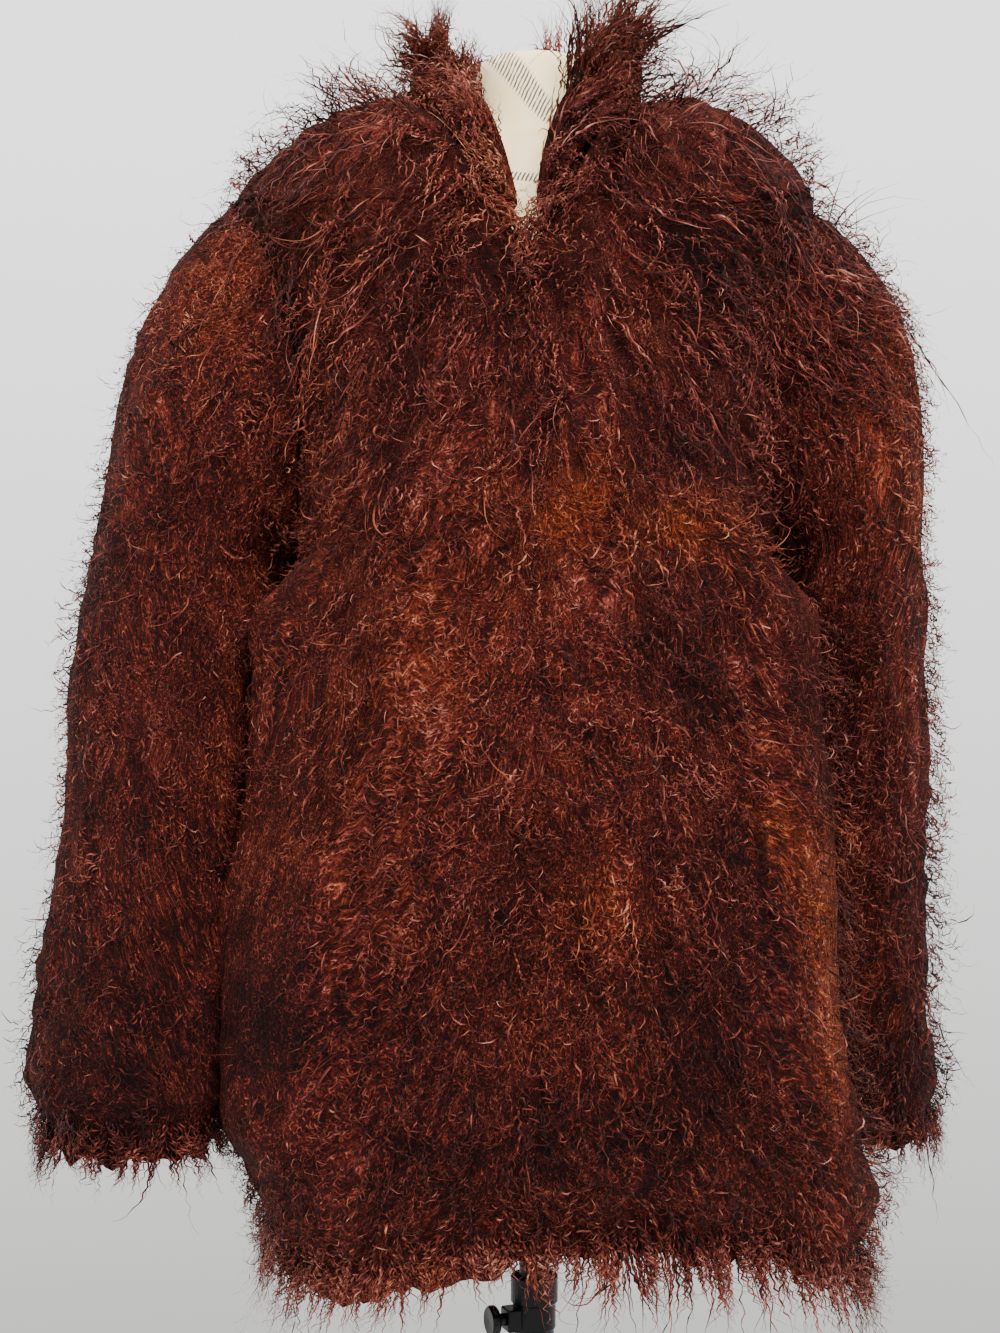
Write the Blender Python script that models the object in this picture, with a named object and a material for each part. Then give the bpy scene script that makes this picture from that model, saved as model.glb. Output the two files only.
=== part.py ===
"""Hip-length coat of long, crimped lamb fur on a limbless dress form and pole.

Metres, Z up. The front faces -Y, so the wearer's left is +X. The origin is on the floor under the
pole. Each piece of the coat is one wall: the hide is its inner face and the reach of the fur is its
outer face. The coat closes edge to edge down the centre front and hangs from the form's shoulders.
"""
import math
from collections import namedtuple

import bmesh
import bpy
from mathutils import Matrix, Vector, noise

# ------------------------------------------------------------------ driving sizes
SEAM_GAP = 0.0005           # between neighbouring pieces at a seam
SEAT_GAP = 0.0004           # between a piece and what carries it

# The coat's body, a row for each level from the tips of the hem fur to the neck seam. left, right,
# front and back are the half widths of the hide's inner face, square is the roundness of the
# section (2 is an ellipse), pile is the fur's thickness and side its thickness under the arm.
Level = namedtuple("Level", "z left right front back square pile side")
BODY = [
    Level(0.640, 0.212, 0.174, 0.154, 0.140, 2.4, 0.014, 0.014),
    Level(0.685, 0.200, 0.171, 0.152, 0.138, 2.4, 0.037, 0.034),
    Level(0.740, 0.183, 0.168, 0.150, 0.136, 2.4, 0.040, 0.032),
    Level(0.850, 0.172, 0.164, 0.143, 0.131, 2.4, 0.040, 0.030),
    Level(0.970, 0.166, 0.162, 0.136, 0.126, 2.4, 0.040, 0.028),
    Level(1.070, 0.166, 0.163, 0.130, 0.121, 2.3, 0.040, 0.014),
    Level(1.150, 0.168, 0.167, 0.125, 0.118, 2.3, 0.040, 0.012),
    Level(1.230, 0.176, 0.176, 0.114, 0.108, 2.2, 0.040, 0.032),
    Level(1.295, 0.190, 0.190, 0.097, 0.094, 2.1, 0.044, 0.038),
    Level(1.335, 0.200, 0.200, 0.084, 0.083, 2.0, 0.048, 0.042),
    Level(1.355, 0.165, 0.165, 0.077, 0.077, 2.0, 0.052, 0.050),
    Level(1.379, 0.112, 0.112, 0.068, 0.070, 2.0, 0.058, 0.058),
    Level(1.399, 0.070, 0.070, 0.060, 0.062, 2.0, 0.048, 0.048),
]
LOW_LEVELS = 10             # rows of faces from the hem to the underarm
ARM_LEVELS = 8              # and along the armhole
TOP_LEVELS = 4              # and from the shoulder point to the neck
FRONT_COLUMNS = 11
BACK_COLUMNS = 22

# Where the hem fur ends, by the angle round the body: 0 is the centre front, 90 the wearer's left.
HemPoint = namedtuple("HemPoint", "turn z")
HEM = [HemPoint(-180, 0.632), HemPoint(-90, 0.648), HemPoint(-45, 0.642), HemPoint(0, 0.670),
       HemPoint(30, 0.664), HemPoint(60, 0.634), HemPoint(90, 0.614), HemPoint(140, 0.620),
       HemPoint(180, 0.632)]
HEM_FADE_TOP = 0.90         # above this height the levels lie flat
LOCK_STEP = 0.008           # how far the locks along a free edge end above or below it

ARM_Z, ARM_HALF_Z, ARM_HALF_Y = 1.225, 0.110, 0.058     # the armhole, an oval seen from the side
UNDERARM_PILE, ARM_EDGE_PILE = 0.006, 0.038      # the fur along the armhole, below and elsewhere
SHAG = 0.009                # how high the fur's low lumps stand

# The V neck: half its width at each height, on the hide.
NeckPoint = namedtuple("NeckPoint", "z half")
V_NECK = [NeckPoint(1.285, 0.0), NeckPoint(1.335, 0.018), NeckPoint(1.370, 0.034),
          NeckPoint(1.390, 0.050), NeckPoint(1.399, 0.066)]
LEAN = -0.009               # the shoulders and neck stand this far to the wearer's right
LEAN_FOOT, LEAN_TOP = 1.20, 1.40

# The sleeves, a row for each ring from the upper arm to the tips of the cuff fur. out and fore place
# the ring's middle, side and depth are its half widths, tilt lifts its outer side.
Ring = namedtuple("Ring", "z out fore side depth tilt pile")
LEFT_SLEEVE = [
    Ring(1.105, 0.2260, 0.000, 0.037, 0.064, 24, 0.026),
    Ring(1.000, 0.2270, -0.032, 0.037, 0.060, 12, 0.026),
    Ring(0.880, 0.2290, -0.060, 0.037, 0.055, 5, 0.026),
    Ring(0.790, 0.2350, -0.076, 0.039, 0.052, 2, 0.026),
    Ring(0.735, 0.2400, -0.084, 0.042, 0.052, 0, 0.025),
    Ring(0.699, 0.2450, -0.090, 0.045, 0.055, 0, 0.010),
]
RIGHT_SLEEVE = [
    Ring(1.105, 0.2345, 0.000, 0.044, 0.062, 26, 0.034),
    Ring(1.000, 0.2480, 0.018, 0.044, 0.058, 14, 0.034),
    Ring(0.880, 0.2600, 0.038, 0.045, 0.054, 8, 0.034),
    Ring(0.810, 0.2650, 0.050, 0.046, 0.052, 5, 0.033),
    Ring(0.765, 0.2690, 0.056, 0.047, 0.054, 3, 0.030),
    Ring(0.722, 0.2720, 0.060, 0.050, 0.058, 2, 0.010),
]
CAP_STEPS = (0.0, 0.10, 0.24, 0.42, 0.62, 0.81)          # along the sleeve's cap
SLEEVE_RINGS = 11
BODY_SIDE_PILE = 0.007      # the sleeve's fur where it lies against the body
PRESSED_PILE = 0.007        # the body's fur where the sleeve presses it flat
PRESS_GAP = 0.004           # the air between the two
PRESS_BELOW = 0.030         # how far below the cuff it is still pressed

# The collar, by the angle round the neck: how far it stands up, how much its free edge closes
# towards the middle, and how thick its fur is there.
CollarPoint = namedtuple("CollarPoint", "turn rise close thick")
COLLAR = [CollarPoint(0, 0.014, 0.60, 0.014), CollarPoint(30, 0.032, 0.45, 0.020),
          CollarPoint(60, 0.060, 0.25, 0.026), CollarPoint(90, 0.068, 0.16, 0.028),
          CollarPoint(135, 0.064, 0.10, 0.026), CollarPoint(180, 0.060, 0.04, 0.024)]
COLLAR_ROWS = 4
COLLAR_START = 0.35         # levels above the V's point where the collar begins
COLLAR_BOW = 0.010          # how far its fur rounds out between its seam and its free edge

# The dress form below its shoulders and above them; between, it follows the coat's own levels.
FormLevel = namedtuple("FormLevel", "z half front back square")
FORM_TORSO = [
    FormLevel(0.800, 0.146, 0.098, 0.096, 2.2),
    FormLevel(0.808, 0.152, 0.104, 0.101, 2.2),
    FormLevel(0.880, 0.153, 0.106, 0.104, 2.2),
    FormLevel(0.960, 0.134, 0.096, 0.088, 2.2),
    FormLevel(1.030, 0.118, 0.088, 0.076, 2.2),
    FormLevel(1.110, 0.130, 0.098, 0.084, 2.2),
    FormLevel(1.190, 0.144, 0.108, 0.092, 2.2),
    FormLevel(1.260, 0.154, 0.094, 0.090, 2.1),
    FormLevel(1.315, 0.160, 0.072, 0.074, 2.0),
    FormLevel(1.340, 0.160, 0.060, 0.064, 2.0),
]
FORM_NECK = [
    FormLevel(1.4030, 0.052, 0.046, 0.050, 2.0),
    FormLevel(1.4130, 0.044, 0.043, 0.046, 2.0),
    FormLevel(1.4350, 0.041, 0.041, 0.043, 2.0),
    FormLevel(1.4520, 0.041, 0.040, 0.042, 2.0),
    FormLevel(1.4600, 0.037, 0.036, 0.038, 2.0),
    FormLevel(1.4635, 0.025, 0.024, 0.026, 2.0),
]
FORM_COLUMNS = 32
FORM_SHOULDER_DEPTH = 0.80  # the form's depth at the shoulders, as a share of the coat's
FORM_SHOULDER_START = 0.012 # how far above the torso's last level the coat's own levels take over
SHOULDER_SLOPE = 25.0       # degrees, which turns the seat's gap into a drop

MAST_RADIUS = 0.0105
MAST_FOOT_Z = 0.300
HEAD_RADIUS, HEAD_THICK = 0.042, 0.006
POLE_RADIUS, POLE_BORE = 0.0138, 0.0119
POLE_TOP_Z = 0.5770
CUP_RADIUS, CUP_BORE, CUP_TOP_Z, CUP_FLOOR_Z = 0.0165, 0.0145, 0.6145, 0.6020
CLAMP_BORE = 0.0109
BLOCK_RADIUS, BLOCK_TOP_Z = 0.0150, 0.5950
EAR_REACH, EAR_HALF_WIDTH = 0.0225, 0.0075
SCREW_Z, SCREW_TURN = 0.5855, 22.0      # the thumb screw's height, and its angle towards the front
STUD_RADIUS, STUD_HOLE, COLLAR_RADIUS = 0.0030, 0.0033, 0.0045
KNOB_NEAR, KNOB_THICK, KNOB_RADIUS = 0.0285, 0.0060, 0.0108
BASE_RADIUS = 0.190
SOCKET_FLOOR_Z, HUB_TOP_Z = 0.0125, 0.062
CHAMFER, WELD = 0.001, 0.004
THROUGH = 0.004             # how far a hole's cutter runs past each side of its wall


# ------------------------------------------------------------------ small helpers
def clear_scene():
    for thing in list(bpy.data.objects):
        bpy.data.objects.remove(thing, do_unlink=True)


def linear(hex_colour):
    """An sRGB hex colour as linear RGBA."""
    channels = [int(hex_colour[i:i + 2], 16) / 255 for i in (1, 3, 5)]
    return [c / 12.92 if c <= 0.04045 else ((c + 0.055) / 1.055) ** 2.4 for c in channels] + [1.0]


def material(name, hex_colour, roughness):
    made = bpy.data.materials.new(name)
    made.use_nodes = True
    shader = made.node_tree.nodes["Principled BSDF"]
    shader.inputs["Base Color"].default_value = linear(hex_colour)
    shader.inputs["Roughness"].default_value = roughness
    return made


def soft_step(low, high, value):
    """0 below low and 1 above high, with a smooth rise between."""
    share = min(max((value - low) / (high - low), 0.0), 1.0)
    return share * share * (3 - 2 * share)


def between(table, place):
    """A row of the table at a fractional place, on smooth curves through its rows."""
    i = min(max(int(place), 0), len(table) - 2)
    f = place - i
    before, start, end, after = (table[min(max(i + k, 0), len(table) - 1)] for k in (-1, 0, 1, 2))
    values = []
    for a, b, c, d in zip(before, start, end, after):
        bend = 2 * a - 5 * b + 4 * c - d
        values.append(b + 0.5 * f * (c - a + f * (bend + f * (3 * (b - c) + d - a))))
    return type(start)(*values)


def look_up(table, value):
    """A row of the table at a value of its first column, eased from row to row."""
    value = min(max(value, table[0][0]), table[-1][0])
    i = max(k for k in range(len(table) - 1) if table[k][0] <= value)
    f = soft_step(table[i][0], table[i + 1][0], value)
    return type(table[0])(*(a + (b - a) * f for a, b in zip(table[i], table[i + 1])))


def lean(z):
    """How far the coat and the form stand to one side at a height."""
    return LEAN * soft_step(LEAN_FOOT, LEAN_TOP, z)


def signed_power(value, power):
    return math.copysign(abs(value) ** power, value)


def place_of(table, z):
    """The fractional place in a table whose level is at height z, by halving."""
    low, high = 0.0, len(table) - 1.0
    for _ in range(40):
        middle = (low + high) / 2
        if between(table, middle).z < z:
            low = middle
        else:
            high = middle
    return (low + high) / 2


def add_object(name, mesh_builder, finish):
    """A named object from a bmesh, facing out and smooth over all but its sharp edges."""
    bmesh.ops.triangulate(mesh_builder, faces=mesh_builder.faces[:])
    bmesh.ops.recalc_face_normals(mesh_builder, faces=mesh_builder.faces[:])
    mesh = bpy.data.meshes.new(name)
    mesh_builder.to_mesh(mesh)
    mesh_builder.free()
    mesh.materials.append(finish)
    mesh.shade_smooth()
    mesh.set_sharp_from_angle(angle=math.radians(40))
    made = bpy.data.objects.new(name, mesh)
    bpy.context.scene.collection.objects.link(made)
    return made


def wall(name, inner, outer, finish, closed=False):
    """A solid wall between two matching grids of points; closed joins the last column to the first."""
    builder = bmesh.new()
    rows, columns = len(inner), len(inner[0])
    inside = [[builder.verts.new(p) for p in row] for row in inner]
    outside = [[builder.verts.new(p) for p in row] for row in outer]
    for i in range(rows - 1):
        for j in range(columns if closed else columns - 1):
            k = (j + 1) % columns
            builder.faces.new((inside[i][j], inside[i + 1][j], inside[i + 1][k], inside[i][k]))
            builder.faces.new((outside[i][j], outside[i][k], outside[i + 1][k], outside[i + 1][j]))
    for i in (0, rows - 1):
        for j in range(columns if closed else columns - 1):
            k = (j + 1) % columns
            builder.faces.new((inside[i][j], inside[i][k], outside[i][k], outside[i][j]))
    if not closed:
        for j in (0, columns - 1):
            for i in range(rows - 1):
                builder.faces.new((inside[i][j], outside[i][j], outside[i + 1][j], inside[i + 1][j]))
    return add_object(name, builder, finish)


def turned(name, profile, finish, segments):
    """A solid turned about Z from a profile of (radius, z) that starts and ends on the axis or
    is a closed loop clear of it."""
    builder = bmesh.new()
    rings = []
    for radius, z in profile:
        if radius == 0.0:
            rings.append([builder.verts.new((0.0, 0.0, z))] * segments)
        else:
            turns = (2 * math.pi * k / segments for k in range(segments))
            rings.append([builder.verts.new((radius * math.cos(a), radius * math.sin(a), z))
                          for a in turns])
    joins = list(zip(rings, rings[1:]))
    if profile[0][0] > 0.0:
        joins.append((rings[-1], rings[0]))
    for low, high in joins:
        for k in range(segments):
            m = (k + 1) % segments
            corners = dict.fromkeys((low[k], low[m], high[m], high[k]))
            if len(corners) > 2:
                builder.faces.new(tuple(corners))
    return add_object(name, builder, finish)


# ------------------------------------------------------------------ the coat's body
UNDERARM_Z = ARM_Z - ARM_HALF_Z
SHOULDER_Z = ARM_Z + ARM_HALF_Z
UNDERARM = place_of(BODY, UNDERARM_Z)
SHOULDER = place_of(BODY, SHOULDER_Z)
NECK = len(BODY) - 1.0
V_FOOT = place_of(BODY, V_NECK[0].z)


def body_inside(place, turn):
    """A point of the hide's inner face, at a place up the levels and an angle round from the front."""
    level = between(BODY, place)
    half_x = level.left if math.sin(turn) >= 0 else level.right
    half_y = level.front if math.cos(turn) >= 0 else level.back
    power = 2 / level.square
    angle = math.degrees((turn + math.pi) % (2 * math.pi) - math.pi)
    drop = (look_up(HEM, angle).z - BODY[0].z) * (1 - soft_step(BODY[0].z, HEM_FADE_TOP, level.z))
    return Vector((half_x * signed_power(math.sin(turn), power) + lean(level.z),
                   -half_y * signed_power(math.cos(turn), power), level.z + drop))


def body_normal(place, turn):
    """The direction straight out of the hide."""
    step = 0.02
    along = body_inside(place, turn + step) - body_inside(place, turn - step)
    up = body_inside(min(place + step, NECK), turn) - body_inside(max(place - step, 0.0), turn)
    return along.cross(up).normalized()


def shag(point, height):
    """The fur's low lumps, a few centimetres across."""
    return height * noise.noise(point * 17.0)


def sleeve_share(point):
    """How far a point is across the sleeve that hangs beside the body: below 1 it is inside."""
    table, side = (LEFT_SLEEVE, 1) if point.x > 0 else (RIGHT_SLEEVE, -1)
    if not table[-1].z - PRESS_BELOW < point.z < table[0].z:
        return 2.0
    falling = [row._replace(z=-row.z) for row in table]
    ring = between(table, place_of(falling, -point.z))
    across = abs(point.x - side * ring.out) / (ring.side + BODY_SIDE_PILE + PRESS_GAP)
    along = abs(point.y + ring.fore) / (ring.depth + ring.pile + PRESS_GAP)
    return (across ** 3 + along ** 3) ** (1 / 3)


def arm_lean(z):
    """Where a height lies round the armhole: the cosine and sine of its angle from the top."""
    cosine = min(max((z - ARM_Z) / ARM_HALF_Z, -1.0), 1.0)
    return cosine, math.sqrt(1 - cosine * cosine)


def body_outside(place, turn, edge_share=0.0):
    """A point of the fur's reach. edge_share is 1 on the armhole's edge and 0 well away from it."""
    level = between(BODY, place)
    inside = body_inside(place, turn)
    out = body_normal(place, turn)
    pile = level.side + (level.pile - level.side) * soft_step(0.05, 0.62, abs(math.cos(turn)))
    in_arm_band = UNDERARM - 0.001 <= place <= SHOULDER + 0.001
    if in_arm_band and edge_share > 0:
        cosine, sine = arm_lean(level.z)
        facing = -1.0 if math.cos(turn) >= 0 else 1.0
        radial = Vector((0.0, facing * sine / ARM_HALF_Y, cosine / ARM_HALF_Z)).normalized()
        edge_pile = UNDERARM_PILE + (ARM_EDGE_PILE - UNDERARM_PILE) * soft_step(-1.0, 0.1, cosine)
        weight = soft_step(0.35, 1.0, edge_share)
        out = out.lerp(radial, weight).normalized()
        pile += (edge_pile - pile) * weight
    while pile > PRESSED_PILE and sleeve_share(inside + out * pile) < 1.0:
        pile -= 0.001
    clear = soft_step(1.05, 1.25, sleeve_share(inside + out * pile))
    fur = clear * min(1.0, pile / 0.03) * (1 - soft_step(0.8, 1.0, edge_share))
    fur *= 1 - soft_step(NECK - 1.0, NECK - 0.1, place)
    return inside + out * (pile + shag(inside, SHAG * fur))


def side_turn(place, back):
    """The angle of a panel's side edge: the side seam, the armhole or the shoulder seam."""
    level = between(BODY, place)
    y = SEAM_GAP / 2
    if UNDERARM < place < SHOULDER:
        y = max(y, ARM_HALF_Y * arm_lean(level.z)[1])
    half_y = level.back if back else level.front
    turn = math.acos(min((y / half_y) ** (level.square / 2), 1.0))
    return math.pi - turn if back else turn


def front_turn(place, side):
    """The angle of a front's centre edge: the closing, then the V neck."""
    level = between(BODY, place)
    x = SEAM_GAP / 2
    if place > V_FOOT:
        x = max(x, look_up(V_NECK, level.z).half)
    half_x = level.left if side > 0 else level.right
    return math.asin(min((x / half_x) ** (level.square / 2), 1.0))


def body_places():
    """The places up the levels where the panels have their rows."""
    low = [UNDERARM * (i / LOW_LEVELS) ** 1.1 for i in range(LOW_LEVELS)]
    steps = list(range(ARM_LEVELS)) + [ARM_LEVELS - 0.5]
    arm = [place_of(BODY, ARM_Z - ARM_HALF_Z * math.cos(math.pi * i / ARM_LEVELS)) for i in steps]
    top = [SHOULDER + (NECK - SHOULDER) * i / TOP_LEVELS for i in range(TOP_LEVELS + 1)]
    return low + [UNDERARM] + arm[1:] + top


def ragged(point, row, column):
    """The first row of a free edge ends in locks: every second one hangs a little lower."""
    if row > 0:
        return point
    return point + Vector((0, 0, LOCK_STEP if column % 2 else -LOCK_STEP))


def front_panel(name, side, finish):
    inner, outer = [], []
    for row, place in enumerate(body_places()):
        start, end = front_turn(place, side), side_turn(place, back=False)
        shares = [j / FRONT_COLUMNS for j in range(FRONT_COLUMNS + 1)]
        turns = [side * (start + (end - start) * share) for share in shares]
        inner.append([ragged(body_inside(place, a), row, j) for j, a in enumerate(turns)])
        outer.append([ragged(body_outside(place, a, share), row, j)
                      for j, (a, share) in enumerate(zip(turns, shares))])
    return wall(name, inner, outer, finish)


def back_panel(name, finish):
    inner, outer = [], []
    for row, place in enumerate(body_places()):
        start = side_turn(place, back=True)
        shares = [j / BACK_COLUMNS for j in range(BACK_COLUMNS + 1)]
        turns = [start + (2 * math.pi - 2 * start) * share for share in shares]
        inner.append([ragged(body_inside(place, a), row, j) for j, a in enumerate(turns)])
        outer.append([ragged(body_outside(place, a, abs(2 * share - 1)), row, j)
                      for j, (a, share) in enumerate(zip(turns, shares))])
    return wall(name, inner, outer, finish)


# ------------------------------------------------------------------ sleeves
def ring_point(table, place, side, angle, with_pile):
    """A point of a sleeve's ring: angle 0 is its outer side and a right angle its front."""
    ring = between(table, place)
    tilt = math.radians(ring.tilt)
    lateral = Vector((side * math.cos(tilt), 0, math.sin(tilt)))
    facing_out = (0.5 + 0.5 * math.cos(angle)) ** 0.45
    pile = 0.0
    if with_pile:
        own = min(BODY_SIDE_PILE, ring.pile)
        pile = own + (ring.pile - own) * facing_out
    middle = Vector((side * ring.out, -ring.fore, ring.z))
    flat = (middle + lateral * (ring.side + pile) * math.cos(angle)
            + Vector((0, -1, 0)) * (ring.depth + pile) * math.sin(angle))
    if pile > 0.015:
        flat += (flat - middle).normalized() * shag(flat, SHAG * facing_out)
    return flat


def armhole(side):
    """The armhole's edge as (angle, inner point, outer point), up its front and down its back."""
    places = [p for p in body_places() if UNDERARM - 0.001 <= p <= SHOULDER + 0.001]
    loop = []
    for back, run in ((False, places), (True, places[-2:0:-1])):
        for place in run:
            turn = side * side_turn(place, back)
            cosine, sine = arm_lean(between(BODY, place).z)
            angle = math.atan2(-sine if back else sine, cosine)
            inside, outside = body_inside(place, turn), body_outside(place, turn, 1.0)
            if sine < 0.02:
                inside.y = outside.y = 0.0
            loop.append((angle, inside, outside))
    return loop


def curve(start, lead, arrive, end, f):
    """A cubic curve between two points that leaves along lead and arrives along arrive."""
    reach = 0.42 * (end - start).length
    points = (start, start + lead * reach, end - arrive * reach, end)
    weights = ((1 - f) ** 3, 3 * f * (1 - f) ** 2, 3 * f * f * (1 - f), f ** 3)
    total = Vector()
    for point, weight in zip(points, weights):
        total += point * weight
    return total


def sleeve(name, side, table, finish):
    loop = armhole(side)
    lead = Vector((side * 0.80, 0, -0.60))
    drop = (Vector((side * table[1].out, -table[1].fore, table[1].z))
            - Vector((side * table[0].out, -table[0].fore, table[0].z))).normalized()
    inner, outer = [], []
    for f in CAP_STEPS:
        for grid, which, with_pile in ((inner, 1, False), (outer, 2, True)):
            row = []
            for spot in loop:
                start = spot[which] + lead * SEAM_GAP * 1.6
                end = ring_point(table, 0.0, side, spot[0], with_pile)
                row.append(curve(start, lead, drop, end, f))
            grid.append(row)
    for i in range(SLEEVE_RINGS + 1):
        place = (len(table) - 1) * i / SLEEVE_RINGS
        last = 0 if i == SLEEVE_RINGS else 1
        inner.append([ragged(ring_point(table, place, side, spot[0], False), last, j)
                      for j, spot in enumerate(loop)])
        outer.append([ragged(ring_point(table, place, side, spot[0], True), last, j)
                      for j, spot in enumerate(loop)])
    return wall(name, inner, outer, finish, closed=True)


# ------------------------------------------------------------------ collar
def neckline():
    """The neck seam as (angle, inner point, outer point), from the right V edge round the back."""
    half = [(front_turn(place, 1), place) for place in body_places()
            if V_FOOT + COLLAR_START < place < NECK]
    start, end = front_turn(NECK, 1), side_turn(NECK, back=False)
    half += [(start + (end - start) * j / FRONT_COLUMNS, NECK) for j in range(FRONT_COLUMNS)]
    behind = side_turn(NECK, back=True)
    back = [behind + 2 * (math.pi - behind) * j / BACK_COLUMNS for j in range(BACK_COLUMNS + 1)]
    turns = [(-turn, place) for turn, place in half] + [(-turn, NECK) for turn in back]
    turns += [(turn, place) for turn, place in reversed(half)]
    return [(turn, body_inside(place, turn), body_outside(place, turn)) for turn, place in turns]


def collar(name, finish):
    seam = neckline()
    inner = [[] for _ in range(COLLAR_ROWS + 1)]
    outer = [[] for _ in range(COLLAR_ROWS + 1)]
    for turn, inside, outside in seam:
        angle = abs(math.degrees((turn + math.pi) % (2 * math.pi) - math.pi))
        shape = look_up(COLLAR, angle)
        in_v = 1 - soft_step(55, 80, angle)
        aside = inside.x - lean(inside.z)
        into_opening = Vector((-0.8 * math.copysign(in_v, aside), 0, 0.6)).normalized()
        first = inside + into_opening * SEAM_GAP * 1.5
        first_out = outside + into_opening * SEAM_GAP * 1.5
        rise = Vector((-aside * shape.close, -0.008 * in_v, shape.rise))
        away = Vector((math.sin(turn), -math.cos(turn), 1.2)).normalized()
        last = first + rise
        last_out = last + away * shape.thick
        for i in range(COLLAR_ROWS + 1):
            f = i / COLLAR_ROWS
            bow = math.sin(math.pi * f)
            inner[i].append(first.lerp(last, f))
            lump = shag(first_out + rise * f, SHAG)
            outer[i].append(first_out.lerp(last_out, f) + away * bow * (COLLAR_BOW + lump))
    return wall(name, inner, outer, finish)


# ------------------------------------------------------------------ dress form and stand
def dress_form(name, finish):
    levels = list(FORM_TORSO)
    for place in body_places():
        level = between(BODY, place)
        if FORM_TORSO[-1].z + FORM_SHOULDER_START < level.z:
            sink = 1.5 * SEAT_GAP / math.cos(math.radians(SHOULDER_SLOPE))
            levels.append(FormLevel(level.z - sink, level.left, level.front * FORM_SHOULDER_DEPTH,
                                    level.back * FORM_SHOULDER_DEPTH, level.square))
    levels += FORM_NECK
    builder = bmesh.new()
    rings = []
    for level in levels:
        power = 2 / level.square
        ring = []
        for k in range(FORM_COLUMNS):
            turn = 2 * math.pi * k / FORM_COLUMNS
            half_y = level.front if math.cos(turn) >= 0 else level.back
            x = level.half * signed_power(math.sin(turn), power) + lean(level.z)
            y = -half_y * signed_power(math.cos(turn), power)
            ring.append(builder.verts.new((x, y, level.z)))
        rings.append(ring)
    for low, high in zip(rings, rings[1:]):
        for k in range(FORM_COLUMNS):
            m = (k + 1) % FORM_COLUMNS
            builder.faces.new((low[k], low[m], high[m], high[k]))
    builder.faces.new(rings[0])
    builder.faces.new(rings[-1])
    return add_object(name, builder, finish)


def mast(name, finish):
    top = FORM_TORSO[0].z - SEAT_GAP
    under_head = top - HEAD_THICK
    profile = [(0.0, MAST_FOOT_Z), (MAST_RADIUS - CHAMFER, MAST_FOOT_Z),
               (MAST_RADIUS, MAST_FOOT_Z + CHAMFER), (MAST_RADIUS, under_head - WELD),
               (MAST_RADIUS + WELD, under_head), (HEAD_RADIUS - CHAMFER, under_head),
               (HEAD_RADIUS, under_head + CHAMFER), (HEAD_RADIUS, top), (0.0, top)]
    return turned(name, profile, finish, segments=32)


def cutter(name, builder):
    """A guide object that only cuts, hidden from view."""
    mesh = bpy.data.meshes.new(name)
    builder.to_mesh(mesh)
    builder.free()
    made = bpy.data.objects.new(name, mesh)
    made.hide_render = True
    made.display_type = "WIRE"
    bpy.context.scene.collection.objects.link(made)
    return made


def cylinder(radius, low, high, place, segments):
    builder = bmesh.new()
    bmesh.ops.create_cone(builder, cap_ends=True, segments=segments, radius1=radius, radius2=radius,
                          depth=high - low, matrix=Matrix.Translation((0, 0, (low + high) / 2)))
    bmesh.ops.transform(builder, matrix=place, verts=builder.verts[:])
    return builder


def combine(target, other, operation):
    step = target.modifiers.new(operation.title() + " " + other.name, "BOOLEAN")
    step.operation = operation
    step.object = other
    step.solver = "EXACT"


def screw_frame():
    """Local +Z points out along the thumb screw, from the mast's axis to the knob."""
    out = Vector((-math.cos(math.radians(SCREW_TURN)), -math.sin(math.radians(SCREW_TURN)), 0))
    return Matrix.Translation((0, 0, SCREW_Z)) @ out.to_track_quat("Z", "X").to_matrix().to_4x4()


def clamp_cup(name, finish):
    foot = POLE_TOP_Z + SEAT_GAP
    made = turned(name, [(CLAMP_BORE, foot), (BLOCK_RADIUS - CHAMFER, foot),
                         (BLOCK_RADIUS, foot + CHAMFER),
                         (BLOCK_RADIUS, BLOCK_TOP_Z), (CUP_RADIUS, BLOCK_TOP_Z + 0.0015),
                         (CUP_RADIUS, CUP_TOP_Z - 0.0005), (CUP_RADIUS - 0.0005, CUP_TOP_Z),
                         (CUP_BORE + 0.0003, CUP_TOP_Z), (CUP_BORE, CUP_TOP_Z - 0.0005),
                         (CUP_BORE, CUP_FLOOR_Z), (CLAMP_BORE, CUP_FLOOR_Z - 0.002)], finish, 32)
    ear = bmesh.new()
    bmesh.ops.create_cube(ear, size=1.0)
    height = BLOCK_TOP_Z - foot - 2 * CHAMFER
    length = EAR_REACH - CLAMP_BORE - CHAMFER
    shape = (screw_frame() @ Matrix.Translation((0, 0, EAR_REACH - length / 2))
             @ Matrix.Diagonal((height, 2 * EAR_HALF_WIDTH, length, 1.0)))
    bmesh.ops.transform(ear, matrix=shape, verts=ear.verts[:])
    bmesh.ops.bevel(ear, geom=ear.edges[:], offset=CHAMFER, segments=1, affect="EDGES")
    combine(made, cutter(name + "_ear", ear), "UNION")
    hole = cylinder(STUD_HOLE, CLAMP_BORE - THROUGH, EAR_REACH + THROUGH, screw_frame(), 20)
    combine(made, cutter(name + "_hole", hole), "DIFFERENCE")
    return made


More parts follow.
